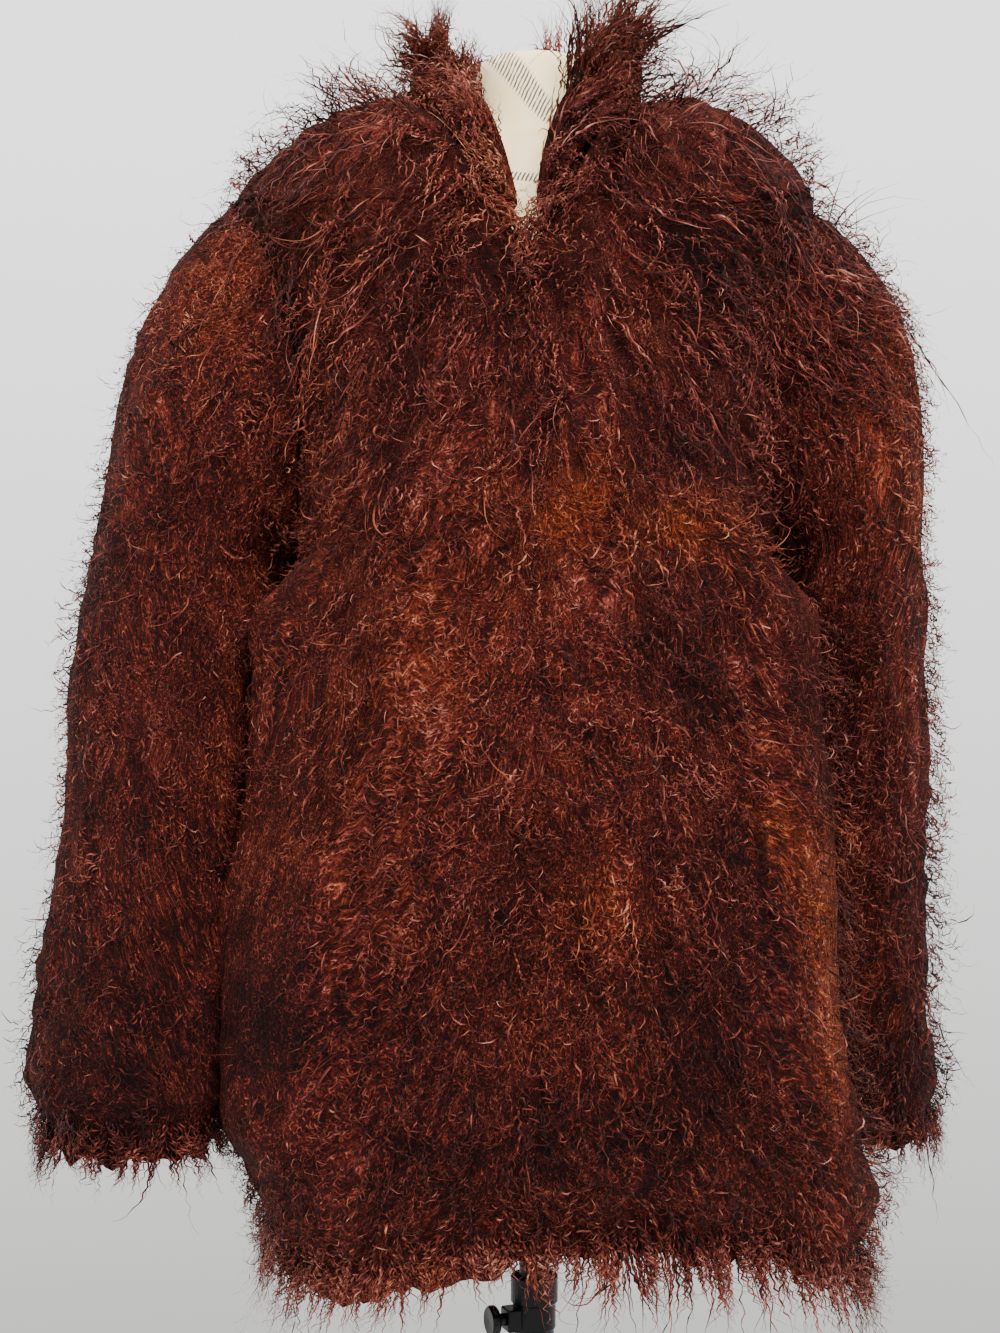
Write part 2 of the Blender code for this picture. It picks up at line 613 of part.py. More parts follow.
def clamp_screw(name, finish):
    """The thumb screw: its stud ends just short of the mast, and its knob is a thick round disc."""
    tip = MAST_RADIUS + SEAT_GAP
    far = KNOB_NEAR + KNOB_THICK
    profile = [(0.0, tip), (STUD_RADIUS, tip), (STUD_RADIUS, EAR_REACH + SEAT_GAP),
               (COLLAR_RADIUS, EAR_REACH + SEAT_GAP), (COLLAR_RADIUS, KNOB_NEAR),
               (KNOB_RADIUS - 0.0012, KNOB_NEAR),
               (KNOB_RADIUS, KNOB_NEAR + 0.0014), (KNOB_RADIUS, far - 0.0016),
               (KNOB_RADIUS - 0.0014, far), (0.0, far - 0.0006)]
    made = turned(name, profile, finish, segments=28)
    made.matrix_world = screw_frame()
    return made


def pole(name, finish):
    foot = SOCKET_FLOOR_Z + SEAT_GAP
    profile = [(POLE_BORE, foot), (POLE_RADIUS, foot), (POLE_RADIUS, POLE_TOP_Z), (POLE_BORE, POLE_TOP_Z)]
    return turned(name, profile, finish, segments=24)


def base(name, finish):
    socket = POLE_RADIUS + SEAT_GAP
    profile = [(0.0, 0.0), (BASE_RADIUS - 0.0015, 0.0), (BASE_RADIUS, 0.0015), (BASE_RADIUS, 0.0045),
               (BASE_RADIUS - 0.003, 0.0060), (0.120, 0.0080), (0.050, 0.0130), (0.028, 0.0230),
               (0.0215, 0.040), (0.0195, HUB_TOP_Z - 0.002), (0.0180, HUB_TOP_Z),
               (socket, HUB_TOP_Z), (socket, SOCKET_FLOOR_Z), (0.0, SOCKET_FLOOR_Z)]
    return turned(name, profile, finish, segments=48)


# ------------------------------------------------------------------ the whole
def build():
    clear_scene()
    fur = material("lamb_fur_dyed_chestnut", "#45201a", 0.85)
    cloth = material("printed_cotton_cover", "#ece0c4", 0.90)
    steel = material("black_painted_tube", "#17181b", 0.35)
    plastic = material("gloss_black_moulding", "#101114", 0.25)
    iron = material("black_cast_weight", "#141416", 0.45)

    front_panel("left_front", 1, fur)
    front_panel("right_front", -1, fur)
    back_panel("back", fur)
    sleeve("left_sleeve", 1, LEFT_SLEEVE, fur)
    sleeve("right_sleeve", -1, RIGHT_SLEEVE, fur)
    collar("collar", fur)
    dress_form("dress_form", cloth)
    mast("mast", steel)
    clamp_cup("clamp_cup", plastic)
    clamp_screw("clamp_screw", plastic)
    pole("pole", steel)
    base("base", iron)


build()
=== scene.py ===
"""A hip-length coat of long, crimped lamb fur on a limbless dress form, as in the photograph.

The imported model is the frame. The fur is real geometry: crimped locks over a dark under-fur, rooted in
six cut pieces of hide, combed down and outwards, and coloured lock by lock.
"""
import math
from collections import namedtuple
from functools import partial

import bmesh
import bpy
import numpy as np
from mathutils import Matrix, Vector, noise
from mathutils.bvhtree import BVHTree
from mathutils.kdtree import KDTree


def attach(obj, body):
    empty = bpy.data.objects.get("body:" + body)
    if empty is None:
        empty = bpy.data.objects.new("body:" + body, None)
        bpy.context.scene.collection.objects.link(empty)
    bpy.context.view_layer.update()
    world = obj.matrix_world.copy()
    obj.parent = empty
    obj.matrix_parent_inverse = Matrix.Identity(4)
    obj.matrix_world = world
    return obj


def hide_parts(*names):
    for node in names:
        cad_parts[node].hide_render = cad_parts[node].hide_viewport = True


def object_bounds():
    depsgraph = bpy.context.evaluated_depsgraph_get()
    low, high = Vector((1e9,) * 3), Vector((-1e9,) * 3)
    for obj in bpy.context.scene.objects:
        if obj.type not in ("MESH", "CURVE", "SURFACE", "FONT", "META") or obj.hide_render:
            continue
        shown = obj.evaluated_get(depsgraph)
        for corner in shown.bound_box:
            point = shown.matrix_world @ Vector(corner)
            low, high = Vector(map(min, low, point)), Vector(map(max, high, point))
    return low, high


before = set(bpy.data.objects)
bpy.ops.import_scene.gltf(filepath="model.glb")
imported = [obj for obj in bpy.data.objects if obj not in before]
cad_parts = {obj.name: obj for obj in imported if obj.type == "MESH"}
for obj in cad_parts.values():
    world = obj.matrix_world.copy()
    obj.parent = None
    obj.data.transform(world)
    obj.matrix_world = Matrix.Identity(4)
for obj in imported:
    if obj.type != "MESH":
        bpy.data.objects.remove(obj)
cad_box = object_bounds()


def table(name, fields, *rows):
    """A list of named rows."""
    row = namedtuple(name, fields)
    return [row(*values) for values in rows]


# ------------------------------------------------------------------ the pattern's sizes, as in the frame
SEAM_GAP = 0.0005
BODY = table(
    "Level", "z left right front back square pile side",
    (0.640, 0.212, 0.174, 0.154, 0.140, 2.4, 0.014, 0.014),
    (0.685, 0.200, 0.171, 0.152, 0.138, 2.4, 0.037, 0.034),
    (0.740, 0.183, 0.168, 0.150, 0.136, 2.4, 0.040, 0.032),
    (0.850, 0.172, 0.164, 0.143, 0.131, 2.4, 0.040, 0.030),
    (0.970, 0.166, 0.162, 0.136, 0.126, 2.4, 0.040, 0.028),
    (1.070, 0.166, 0.163, 0.130, 0.121, 2.3, 0.040, 0.014),
    (1.150, 0.168, 0.167, 0.125, 0.118, 2.3, 0.040, 0.012),
    (1.230, 0.176, 0.176, 0.114, 0.108, 2.2, 0.040, 0.032),
    (1.295, 0.190, 0.190, 0.097, 0.094, 2.1, 0.044, 0.038),
    (1.335, 0.200, 0.200, 0.084, 0.083, 2.0, 0.048, 0.042),
    (1.355, 0.165, 0.165, 0.077, 0.077, 2.0, 0.052, 0.050),
    (1.379, 0.112, 0.112, 0.068, 0.070, 2.0, 0.058, 0.058),
    (1.399, 0.070, 0.070, 0.060, 0.062, 2.0, 0.048, 0.048))
HEM = table("HemPoint", "turn z", (-180, 0.632), (-90, 0.648), (-45, 0.642), (0, 0.670), (30, 0.664),
            (60, 0.634), (90, 0.614), (140, 0.620), (180, 0.632))
HEM_FADE_TOP = 0.90
ARM_Z, ARM_HALF_Z, ARM_HALF_Y = 1.225, 0.110, 0.058
UNDERARM_PILE, ARM_EDGE_PILE = 0.006, 0.038
SHAG, SHAG_PER_METRE = 0.009, 17.0
V_NECK = table("NeckPoint", "z half",
               (1.285, 0.0), (1.335, 0.018), (1.370, 0.034), (1.390, 0.050), (1.399, 0.066))
LEAN, LEAN_FOOT, LEAN_TOP = -0.009, 1.20, 1.40
RING = "z out fore side depth tilt pile"
SLEEVES = {
    "left_sleeve": table("Ring", RING,
                         (1.105, 0.2260, 0.000, 0.037, 0.064, 24, 0.026),
                         (1.000, 0.2270, -0.032, 0.037, 0.060, 12, 0.026),
                         (0.880, 0.2290, -0.060, 0.037, 0.055, 5, 0.026),
                         (0.790, 0.2350, -0.076, 0.039, 0.052, 2, 0.026),
                         (0.735, 0.2400, -0.084, 0.042, 0.052, 0, 0.025),
                         (0.699, 0.2450, -0.090, 0.045, 0.055, 0, 0.010)),
    "right_sleeve": table("Ring", RING,
                          (1.105, 0.2345, 0.000, 0.044, 0.062, 26, 0.034),
                          (1.000, 0.2480, 0.018, 0.044, 0.058, 14, 0.034),
                          (0.880, 0.2600, 0.038, 0.045, 0.054, 8, 0.034),
                          (0.810, 0.2650, 0.050, 0.046, 0.052, 5, 0.033),
                          (0.765, 0.2690, 0.056, 0.047, 0.054, 3, 0.030),
                          (0.722, 0.2720, 0.060, 0.050, 0.058, 2, 0.010)),
}
CAP_STEPS = (0.0, 0.10, 0.24, 0.42, 0.62, 0.81)
PRESSED_PILE = 0.007
PRESS_GAP, PRESS_BELOW, PRESS_STEP = 0.004, 0.030, 0.002
COLLAR = table("CollarPoint", "turn rise close thick",
               (0, 0.014, 0.60, 0.014), (30, 0.032, 0.45, 0.020), (60, 0.060, 0.25, 0.026),
               (90, 0.068, 0.16, 0.028), (135, 0.064, 0.10, 0.026), (180, 0.060, 0.04, 0.024))
COLLAR_START, COLLAR_BOW = 0.35, 0.010
V_ENDS = (55, 80)           # the degrees from the front between which the collar leaves the V neck
ARM_LEAD = (0.80, 0, -0.60)              # the way a sleeve leaves its armhole
CURVE_REACH = 0.42          # how far a sleeve's head keeps its first and last way, as a share
FORM = table(
    "FormLevel", "z half front back square",
    (0.8005, 0.130, 0.084, 0.082, 2.2), (0.802, 0.146, 0.098, 0.096, 2.2),
    (0.808, 0.152, 0.104, 0.101, 2.2), (0.880, 0.153, 0.106, 0.104, 2.2),
    (0.960, 0.134, 0.096, 0.088, 2.2), (1.030, 0.118, 0.088, 0.076, 2.2),
    (1.110, 0.130, 0.098, 0.084, 2.2), (1.190, 0.144, 0.108, 0.092, 2.2),
    (1.260, 0.154, 0.094, 0.090, 2.1), (1.315, 0.160, 0.072, 0.074, 2.0),
    (1.3345, 0.158, 0.064, 0.066, 2.0), (1.3543, 0.150, 0.060, 0.060, 2.0),
    (1.3650, 0.132, 0.057, 0.058, 2.0), (1.3783, 0.108, 0.053, 0.055, 2.0),
    (1.3983, 0.062, 0.047, 0.050, 2.0), (1.4030, 0.052, 0.046, 0.050, 2.0),
    (1.4130, 0.044, 0.043, 0.046, 2.0), (1.4350, 0.041, 0.041, 0.043, 2.0),
    (1.4520, 0.041, 0.040, 0.042, 2.0), (1.4590, 0.0385, 0.0375, 0.0395, 2.0),
    (1.4622, 0.033, 0.032, 0.034, 2.0), (1.4635, 0.022, 0.021, 0.023, 2.0))

FRONT_COLUMNS, BACK_COLUMNS = 11, 22
LOW_LEVELS, ARM_LEVELS, TOP_LEVELS, COLLAR_ROWS, SLEEVE_RINGS = 10, 8, 4, 4, 11
HIDE_FOOT = 0.25            # levels above the fur's tips where the hem's hide ends
CUFF_SHORT = 0.30           # and rings above them where a cuff's ends
HIDE_THICK = 0.0012
FINER = 2                   # how many times finer a piece's grid is than the frame's


# ------------------------------------------------------------------ small helpers
def soft_step(low, high, value):
    """0 below low and 1 above high, with a smooth rise between; numbers or arrays."""
    share = np.clip((value - low) / (high - low), 0.0, 1.0)
    return share * share * (3 - 2 * share)


def fade(low, high, value):
    """1 below low and 0 above high, with a smooth fall between."""
    return 1 - soft_step(low, high, value)


def smooth(a, b, c, d, f):
    """The value at share f of the way from b to c, on a smooth curve through all four."""
    return b + 0.5 * f * (c - a + f * (2 * a - 5 * b + 4 * c - d + f * (3 * (b - c) + d - a)))


def between(rows, place):
    """A row of a table at a fractional place, on smooth curves through its rows."""
    i = min(max(int(place), 0), len(rows) - 2)
    near = (rows[min(max(i + k, 0), len(rows) - 1)] for k in (-1, 0, 1, 2))
    return type(rows[0])(*(smooth(*values, place - i) for values in zip(*near)))


def look_up(rows, value):
    """A row of a table at a value of its first column, eased from row to row."""
    value = min(max(value, rows[0][0]), rows[-1][0])
    i = max(k for k in range(len(rows) - 1) if rows[k][0] <= value)
    f = soft_step(rows[i][0], rows[i + 1][0], value)
    return type(rows[0])(*(a + (b - a) * f for a, b in zip(rows[i], rows[i + 1])))


def lean(z):
    """How far the coat's middle leans aside at a height; a number or an array."""
    return LEAN * soft_step(LEAN_FOOT, LEAN_TOP, z)


def signed_power(value, power):
    """A power that keeps its number's sign."""
    return math.copysign(abs(value) ** power, value)


def round_turn(turn):
    """An angle in degrees between -180 and 180."""
    return math.degrees((turn + math.pi) % (2 * math.pi) - math.pi)


def place_of(rows, z, halvings=26):
    """The fractional place in a table whose level is at height z, by halving."""
    low, high = 0.0, len(rows) - 1.0
    for _ in range(halvings):
        middle = (low + high) / 2
        if between(rows, middle).z < z:
            low = middle
        else:
            high = middle
    return (low + high) / 2


# ------------------------------------------------------------------ the coat's surfaces, as in the frame
UNDERARM, SHOULDER = place_of(BODY, ARM_Z - ARM_HALF_Z), place_of(BODY, ARM_Z + ARM_HALF_Z)
NECK = len(BODY) - 1.0
V_FOOT = place_of(BODY, V_NECK[0].z)
IN_ARM = 0.001              # how near the armhole's ends a place counts as on it


def body_inside(place, turn):
    """A point of the hide's inner face, at a place up the levels and an angle round from the front."""
    level = between(BODY, place)
    half_x = level.left if math.sin(turn) >= 0 else level.right
    half_y = level.front if math.cos(turn) >= 0 else level.back
    power = 2 / level.square
    drop = (look_up(HEM, round_turn(turn)).z - BODY[0].z) * fade(BODY[0].z, HEM_FADE_TOP, level.z)
    return Vector((half_x * signed_power(math.sin(turn), power) + lean(level.z),
                   -half_y * signed_power(math.cos(turn), power), level.z + drop))


def body_normal(place, turn, step=0.02):
    """The way out of the hide at a place and angle, from points that far to each side."""
    along = body_inside(place, turn + step) - body_inside(place, turn - step)
    up = body_inside(min(place + step, NECK), turn) - body_inside(max(place - step, 0.0), turn)
    return along.cross(up).normalized()


def shag(point, height):
    """The fur's low lumps, a few centimetres across."""
    return height * noise.noise(point * SHAG_PER_METRE)


def sleeve_share(point):
    """How far a point is across the sleeve that hangs beside the body: below 1 it is inside."""
    rows, side = (SLEEVES["left_sleeve"], 1) if point.x > 0 else (SLEEVES["right_sleeve"], -1)
    if not rows[-1].z - PRESS_BELOW < point.z < rows[0].z:
        return 2.0
    ring = between(rows, place_of([row._replace(z=-row.z) for row in rows], -point.z))
    across = abs(point.x - side * ring.out) / (ring.side + PRESSED_PILE + PRESS_GAP)
    along = abs(point.y + ring.fore) / (ring.depth + ring.pile + PRESS_GAP)
    return (across ** 3 + along ** 3) ** (1 / 3)


def arm_lean(z):
    """Where a height lies round the armhole: the cosine and sine of its angle from the top."""
    cosine = min(max((z - ARM_Z) / ARM_HALF_Z, -1.0), 1.0)
    return cosine, math.sqrt(1 - cosine * cosine)


def body_outside(place, turn, edge_share=0.0):
    """A point of the fur's reach. edge_share is 1 on the armhole's edge and 0 well away from it."""
    level = between(BODY, place)
    inside = body_inside(place, turn)
    out = body_normal(place, turn)
    pile = level.side + (level.pile - level.side) * soft_step(0.05, 0.62, abs(math.cos(turn)))
    if UNDERARM - IN_ARM <= place <= SHOULDER + IN_ARM and edge_share > 0:
        cosine, sine = arm_lean(level.z)
        facing = -1.0 if math.cos(turn) >= 0 else 1.0
        radial = Vector((0.0, facing * sine / ARM_HALF_Y, cosine / ARM_HALF_Z)).normalized()
        edge_pile = UNDERARM_PILE + (ARM_EDGE_PILE - UNDERARM_PILE) * soft_step(-1.0, 0.1, cosine)
        weight = soft_step(0.35, 1.0, edge_share)
        out = out.lerp(radial, weight).normalized()
        pile += (edge_pile - pile) * weight
    while pile > PRESSED_PILE and sleeve_share(inside + out * pile) < 1.0:
        pile -= PRESS_STEP
    fur = soft_step(1.05, 1.25, sleeve_share(inside + out * pile)) * min(1.0, pile / 0.03)
    fur = fur * fade(0.8, 1.0, edge_share) * fade(NECK - 1.0, NECK - 0.1, place)
    return inside + out * (pile + shag(inside, SHAG * fur))


def side_turn(place, back):
    """The angle of a panel's side edge: the side seam, the armhole or the shoulder seam."""
    level = between(BODY, place)
    y = SEAM_GAP / 2
    if UNDERARM < place < SHOULDER:
        y = max(y, ARM_HALF_Y * arm_lean(level.z)[1])
    turn = math.acos(min((y / (level.back if back else level.front)) ** (level.square / 2), 1.0))
    return math.pi - turn if back else turn


def front_turn(place, side):
    """The angle of a front's centre edge: the closing, then the V neck."""
    level = between(BODY, place)
    x = max(SEAM_GAP / 2, look_up(V_NECK, level.z).half) if place > V_FOOT else SEAM_GAP / 2
    return math.asin(min((x / (level.left if side > 0 else level.right)) ** (level.square / 2), 1.0))


def body_places():
    """The places up the levels where the panels have their rows."""
    low = [HIDE_FOOT + (UNDERARM - HIDE_FOOT) * (i / LOW_LEVELS) ** 1.1 for i in range(LOW_LEVELS)]
    steps = list(range(1, ARM_LEVELS)) + [ARM_LEVELS - 0.5]
    arm = [place_of(BODY, ARM_Z - ARM_HALF_Z * math.cos(math.pi * i / ARM_LEVELS)) for i in steps]
    top = [SHOULDER + (NECK - SHOULDER) * i / TOP_LEVELS for i in range(TOP_LEVELS + 1)]
    return low + [UNDERARM] + arm + top


PLACES = body_places()


def panel_grid(columns, span, edge_share):
    """A panel's inner and outer points. span gives its first angle and how far it goes round at a
    place, and edge_share how near a column is to the armhole's edge."""
    shares = [j / columns for j in range(columns + 1)]
    inner, outer = [], []
    for place in PLACES:
        start, wide = span(place)
        inner.append([body_inside(place, start + wide * share) for share in shares])
        outer.append([body_outside(place, start + wide * share, edge_share(share)) for share in shares])
    return np.array(inner), np.array(outer)


def front_span(side, place):
    """The first angle and the extent of a front at a place: side is 1 for the left and -1 for the
    right."""
    start = front_turn(place, side)
    return side * start, side * (side_turn(place, back=False) - start)


def back_span(place):
    """The first angle and the extent of the back at a place."""
    start = side_turn(place, back=True)
    return start, 2 * math.pi - 2 * start


def ring_point(rows, place, side, angle, with_pile):
    """A point of a sleeve's ring: angle 0 is its outer side and a right angle its front."""
    ring = between(rows, place)
    tilt = math.radians(ring.tilt)
    lateral = Vector((side * math.cos(tilt), 0, math.sin(tilt)))
    facing_out = (0.5 + 0.5 * math.cos(angle)) ** 0.45
    own = min(PRESSED_PILE, ring.pile)
    pile = own + (ring.pile - own) * facing_out if with_pile else 0.0
    middle = Vector((side * ring.out, -ring.fore, ring.z))
    flat = (middle + lateral * (ring.side + pile) * math.cos(angle)
            + Vector((0, -1, 0)) * (ring.depth + pile) * math.sin(angle))
    if pile > 0.015:
        flat += (flat - middle).normalized() * shag(flat, SHAG * facing_out)
    return flat


def armhole(side):
    """The armhole's edge as (angle, inner point, outer point), up its front and down its back."""
    places = [p for p in PLACES if UNDERARM - IN_ARM <= p <= SHOULDER + IN_ARM]
    loop = []
    for back, run in ((False, places), (True, places[-2:0:-1])):
        for place in run:
            turn = side * side_turn(place, back)
            cosine, sine = arm_lean(between(BODY, place).z)
            inside, outside = body_inside(place, turn), body_outside(place, turn, 1.0)
            if sine < 0.02:
                inside.y = outside.y = 0.0
            loop.append((math.atan2(-sine if back else sine, cosine), inside, outside))
    return loop


def curve(start, lead, arrive, end, f):
    """A cubic curve between two points that leaves along lead and arrives along arrive."""
    reach = CURVE_REACH * (end - start).length
    points = (start, start + lead * reach, end - arrive * reach, end)
    weights = ((1 - f) ** 3, 3 * f * (1 - f) ** 2, 3 * f * f * (1 - f), f ** 3)
    return sum((point * weight for point, weight in zip(points, weights)), Vector())


def sleeve_grid(side, rows):
    """A sleeve's inner and outer points: its head from the armhole, then its rings."""
    loop = armhole(side)
    lead = Vector((side * ARM_LEAD[0], *ARM_LEAD[1:]))
    upper, lower = (Vector((side * ring.out, -ring.fore, ring.z)) for ring in rows[:2])
    drop = (lower - upper).normalized()
    last = len(rows) - 1 - CUFF_SHORT
    grids = []
    for which, with_pile in ((1, False), (2, True)):
        cap = [[curve(spot[which] + lead * SEAM_GAP * 1.6, lead, drop,
                      ring_point(rows, 0.0, side, spot[0], with_pile), f) for spot in loop]
               for f in CAP_STEPS]
        arm = [[ring_point(rows, last * i / SLEEVE_RINGS, side, spot[0], with_pile) for spot in loop]
               for i in range(SLEEVE_RINGS + 1)]
        grids.append(np.array(cap + arm))
    return grids


def collar_grid():
    """The collar's inner and outer points, from one V edge round the back to the other."""
    half = [(front_turn(place, 1), place) for place in PLACES if V_FOOT + COLLAR_START < place < NECK]
    start, end = front_turn(NECK, 1), side_turn(NECK, back=False)
    half += [(start + (end - start) * j / FRONT_COLUMNS, NECK) for j in range(FRONT_COLUMNS)]
    behind = side_turn(NECK, back=True)
    back = [behind + 2 * (math.pi - behind) * j / BACK_COLUMNS for j in range(BACK_COLUMNS + 1)]
    turns = [(-turn, place) for turn, place in half] + [(-turn, NECK) for turn in back]
    inner, outer = ([[] for _ in range(COLLAR_ROWS + 1)] for _ in range(2))
    for turn, place in turns + half[::-1]:
        inside, outside = body_inside(place, turn), body_outside(place, turn)
        angle = abs(round_turn(turn))
        shape = look_up(COLLAR, angle)
        in_v = fade(*V_ENDS, angle)
        aside = inside.x - lean(inside.z)
        into_opening = Vector((-0.8 * math.copysign(in_v, aside), 0, 0.6)).normalized()
        first, first_out = (point + into_opening * SEAM_GAP * 1.5 for point in (inside, outside))
        rise = Vector((-aside * shape.close, -0.008 * in_v, shape.rise))
        away = Vector((math.sin(turn), -math.cos(turn), 1.2)).normalized()
        last_out = first + rise + away * shape.thick
        for i in range(COLLAR_ROWS + 1):
            f = i / COLLAR_ROWS
            lump = shag(first_out + rise * f, SHAG)
            inner[i].append(first.lerp(first + rise, f))
            bow = away * math.sin(math.pi * f) * (COLLAR_BOW + lump)
            outer[i].append(first_out.lerp(last_out, f) + bow)
    return np.array(inner), np.array(outer)


def finer(grid, times, closed):
    """The grid with that many times its rows and columns, on smooth curves through its points."""
    for axis in (0, 1):
        grid = np.swapaxes(grid, 0, axis)
        count = len(grid)
        wraps = closed and axis == 1
        steps = np.arange(count * times if wraps else (count - 1) * times + 1) / times
        i = np.floor(steps).astype(int)
        if not wraps:
            i = np.minimum(i, count - 2)
        near = [(i + k) % count if wraps else np.clip(i + k, 0, count - 1) for k in (-1, 0, 1, 2)]
        grid = smooth(*(grid[k] for k in near), (steps - i)[:, None, None])
        grid = np.swapaxes(grid, 0, axis)
    return grid


# Each piece's inner and outer points. The sleeves' grids close on themselves.
PANELS = {
    "left_front": panel_grid(FRONT_COLUMNS, partial(front_span, 1), lambda share: share),
    "right_front": panel_grid(FRONT_COLUMNS, partial(front_span, -1), lambda share: share),
    "back": panel_grid(BACK_COLUMNS, back_span, lambda share: abs(2 * share - 1)),
    "left_sleeve": sleeve_grid(1, SLEEVES["left_sleeve"]),
    "right_sleeve": sleeve_grid(-1, SLEEVES["right_sleeve"]),
    "collar": collar_grid(),
}
PANELS = {name: [finer(grid, FINER, name in SLEEVES) for grid in grids]
          for name, grids in PANELS.items()}


# ------------------------------------------------------------------ meshes
def quads_of(rows, columns, closed):
    """The faces of a grid of points, as four point numbers each."""
    i, j = np.meshgrid(np.arange(rows - 1), np.arange(columns if closed else columns - 1),
                       indexing="ij")
    k = (j + 1) % columns
    return np.stack([i * columns + j, (i + 1) * columns + j, (i + 1) * columns + k,
                     i * columns + k], -1).reshape(-1, 4)


def linked(name, data):
    """A new object in the scene."""
    made = bpy.data.objects.new(name, data)
    bpy.context.scene.collection.objects.link(made)
    return made


def mesh_object(name, points, faces, material):
    """A smooth-shaded object of four-cornered faces that rides on the figure."""
    mesh = bpy.data.meshes.new(name)
    mesh.vertices.add(len(points))
    mesh.vertices.foreach_set("co", np.ascontiguousarray(points, np.float32).ravel())
    mesh.loops.add(faces.size)
    mesh.loops.foreach_set("vertex_index", np.ascontiguousarray(faces, np.int32).ravel())
    mesh.polygons.add(len(faces))
    mesh.polygons.foreach_set("loop_start", np.arange(0, faces.size, 4, dtype=np.int32))
    mesh.update(calc_edges=True)
    mesh.shade_smooth()
    mesh.materials.append(material)
    made = linked(name, mesh)
    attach(made, "figure")
    return made


def turn_out(made):
    """Turns every face of a closed piece outwards."""
    builder = bmesh.new()
    builder.from_mesh(made.data)
    bmesh.ops.recalc_face_normals(builder, faces=builder.faces[:])
    builder.to_mesh(made.data)
    builder.free()


def thick_sheet(name, inside, outside, closed, material):
    """A closed wall between two matching grids of points."""
    rows, columns = inside.shape[:2]
    count = rows * columns
    number = np.arange(count).reshape(rows, columns)
    edges = [np.stack([row, np.roll(row, -1)] if closed else [row[:-1], row[1:]], -1)
             for row in (number[0], number[-1][::-1])]
    if not closed:
        edges += [np.stack([side[:-1], side[1:]], -1) for side in (number[::-1, 0], number[:, -1])]
    rim = np.concatenate(edges)
    rim = np.stack([rim[:, 0], rim[:, 1], rim[:, 1] + count, rim[:, 0] + count], -1)
    flat = quads_of(rows, columns, closed)
    made = mesh_object(name, np.concatenate([inside.reshape(-1, 3), outside.reshape(-1, 3)]),
                       np.concatenate([flat, flat[:, ::-1] + count, rim]), material)
    turn_out(made)
    return made


def lumps(points, size, shift):
    """Smooth noise between about -1 and 1 whose lumps are `size` metres across."""
    scale = 1.0 / size
    return np.array([noise.noise((x * scale + shift, y * scale - shift, z * scale + 2 * shift))
                     for x, y, z in points.reshape(-1, 3).tolist()]).reshape(points.shape[:-1])


def layered(points, layers, base=0.0):
    """A base with layers of smooth noise: for each its depth, its lumps' size and its shift."""
    return sum((depth * lumps(points, size, shift) for depth, size, shift in layers), base)


def norm(vectors, keepdims=False):
    """The length of each vector in an array."""
    return np.linalg.norm(vectors, axis=-1, keepdims=keepdims)


def unit(vectors):
    """The vectors of an array at length 1."""
    return vectors / np.maximum(norm(vectors, True), 1e-9)


# ------------------------------------------------------------------ where the fur lies
# For each piece: which row of its grid is its free edge, how thickly it is furred against the kinds'
# own numbers, how much of the fur's reach its under-fur fills where it stands free, and its hide as it
# was cut, in metres and square metres: its widest and longest with the seams' edges, its area, and
# what it hangs on. A sleeve is measured laid open along its seam.
PIECES = {piece.name: piece for piece in table(
    "Piece", "name free_row density under_share flat area hangs_on",
    ("left_front", 0, 1.0, 0.64, (0.310, 0.930), 0.175, ["form_cover"]),
    ("right_front", 0, 1.0, 0.64, (0.275, 0.890), 0.170, ["form_cover"]),
    ("back", 0, 0.72, 0.66, (0.550, 0.930), 0.350, ["form_cover"]),
    ("left_sleeve", -1, 1.18, 0.50, (0.560, 0.670), 0.181, ["left_front_hide", "back_hide"]),
    ("right_sleeve", -1, 1.18, 0.76, (0.570, 0.635), 0.183, ["right_front_hide", "back_hide"]),
    ("collar", -1, 1.2, 0.60, (0.560, 0.072), 0.027,
     ["left_front_hide", "right_front_hide", "back_hide"]))}
FRONTS = ("left_front", "right_front")       # their first column is a free edge too
PARTING_X, POLE_X = -0.015, -0.024           # the fur's parting and the pole, as the photo shows them
FULLER_PRESSED = 0.60       # how much further the fur reaches where sleeve and body press together
# How much further or less far the fur reaches up each sleeve, as the photo's outline shows it.
SLEEVE_REACH = {"right_sleeve": ((0.70, 0.82, 0.93, 1.04, 1.12, 1.22, 1.28, 1.34),
                                 (1.12, 0.94, 0.80, 1.10, 1.30, 1.12, 0.80, 0.75)),
                "left_sleeve": ((0.70, 0.82, 0.95, 1.04, 1.12, 1.22, 1.33),
                                (0.92, 1.18, 1.20, 1.00, 0.60, 0.66, 1.28))}
BELOW_ARM, ABOVE_CUFF = (1.12, 1.19), (0.685, 0.73)       # where sleeve and body press together
CUFF_PRESS = (1.0, 0.2)     # how much less they do below that, at the viewer's left and right
COVERED_FOOT = 1.322        # the fur covers the V neck's foot up to here
CLOSING_LAP = 0.006         # how far the two fronts' fur crosses at the closing
LEAST_REACH = 0.013         # the fur pressed between sleeve and body still fills the gap there


def pressed_at(name):
    """Which points of a piece face the gap between sleeve and body below the arm, from 0 to 1."""
    inside, outside = PANELS[name]
    x, z = inside[..., 0], inside[..., 2]
    if name == "collar":
        return np.zeros_like(z)
    toward = unit(outside - inside)[..., 0] * np.sign(x) * (-1 if name in SLEEVES else 1)
    low = 1 - fade(*ABOVE_CUFF, z) * np.where(x < 0, *CUFF_PRESS)
    return soft_step(0.45, 0.85, toward) * fade(*BELOW_ARM, z) * low


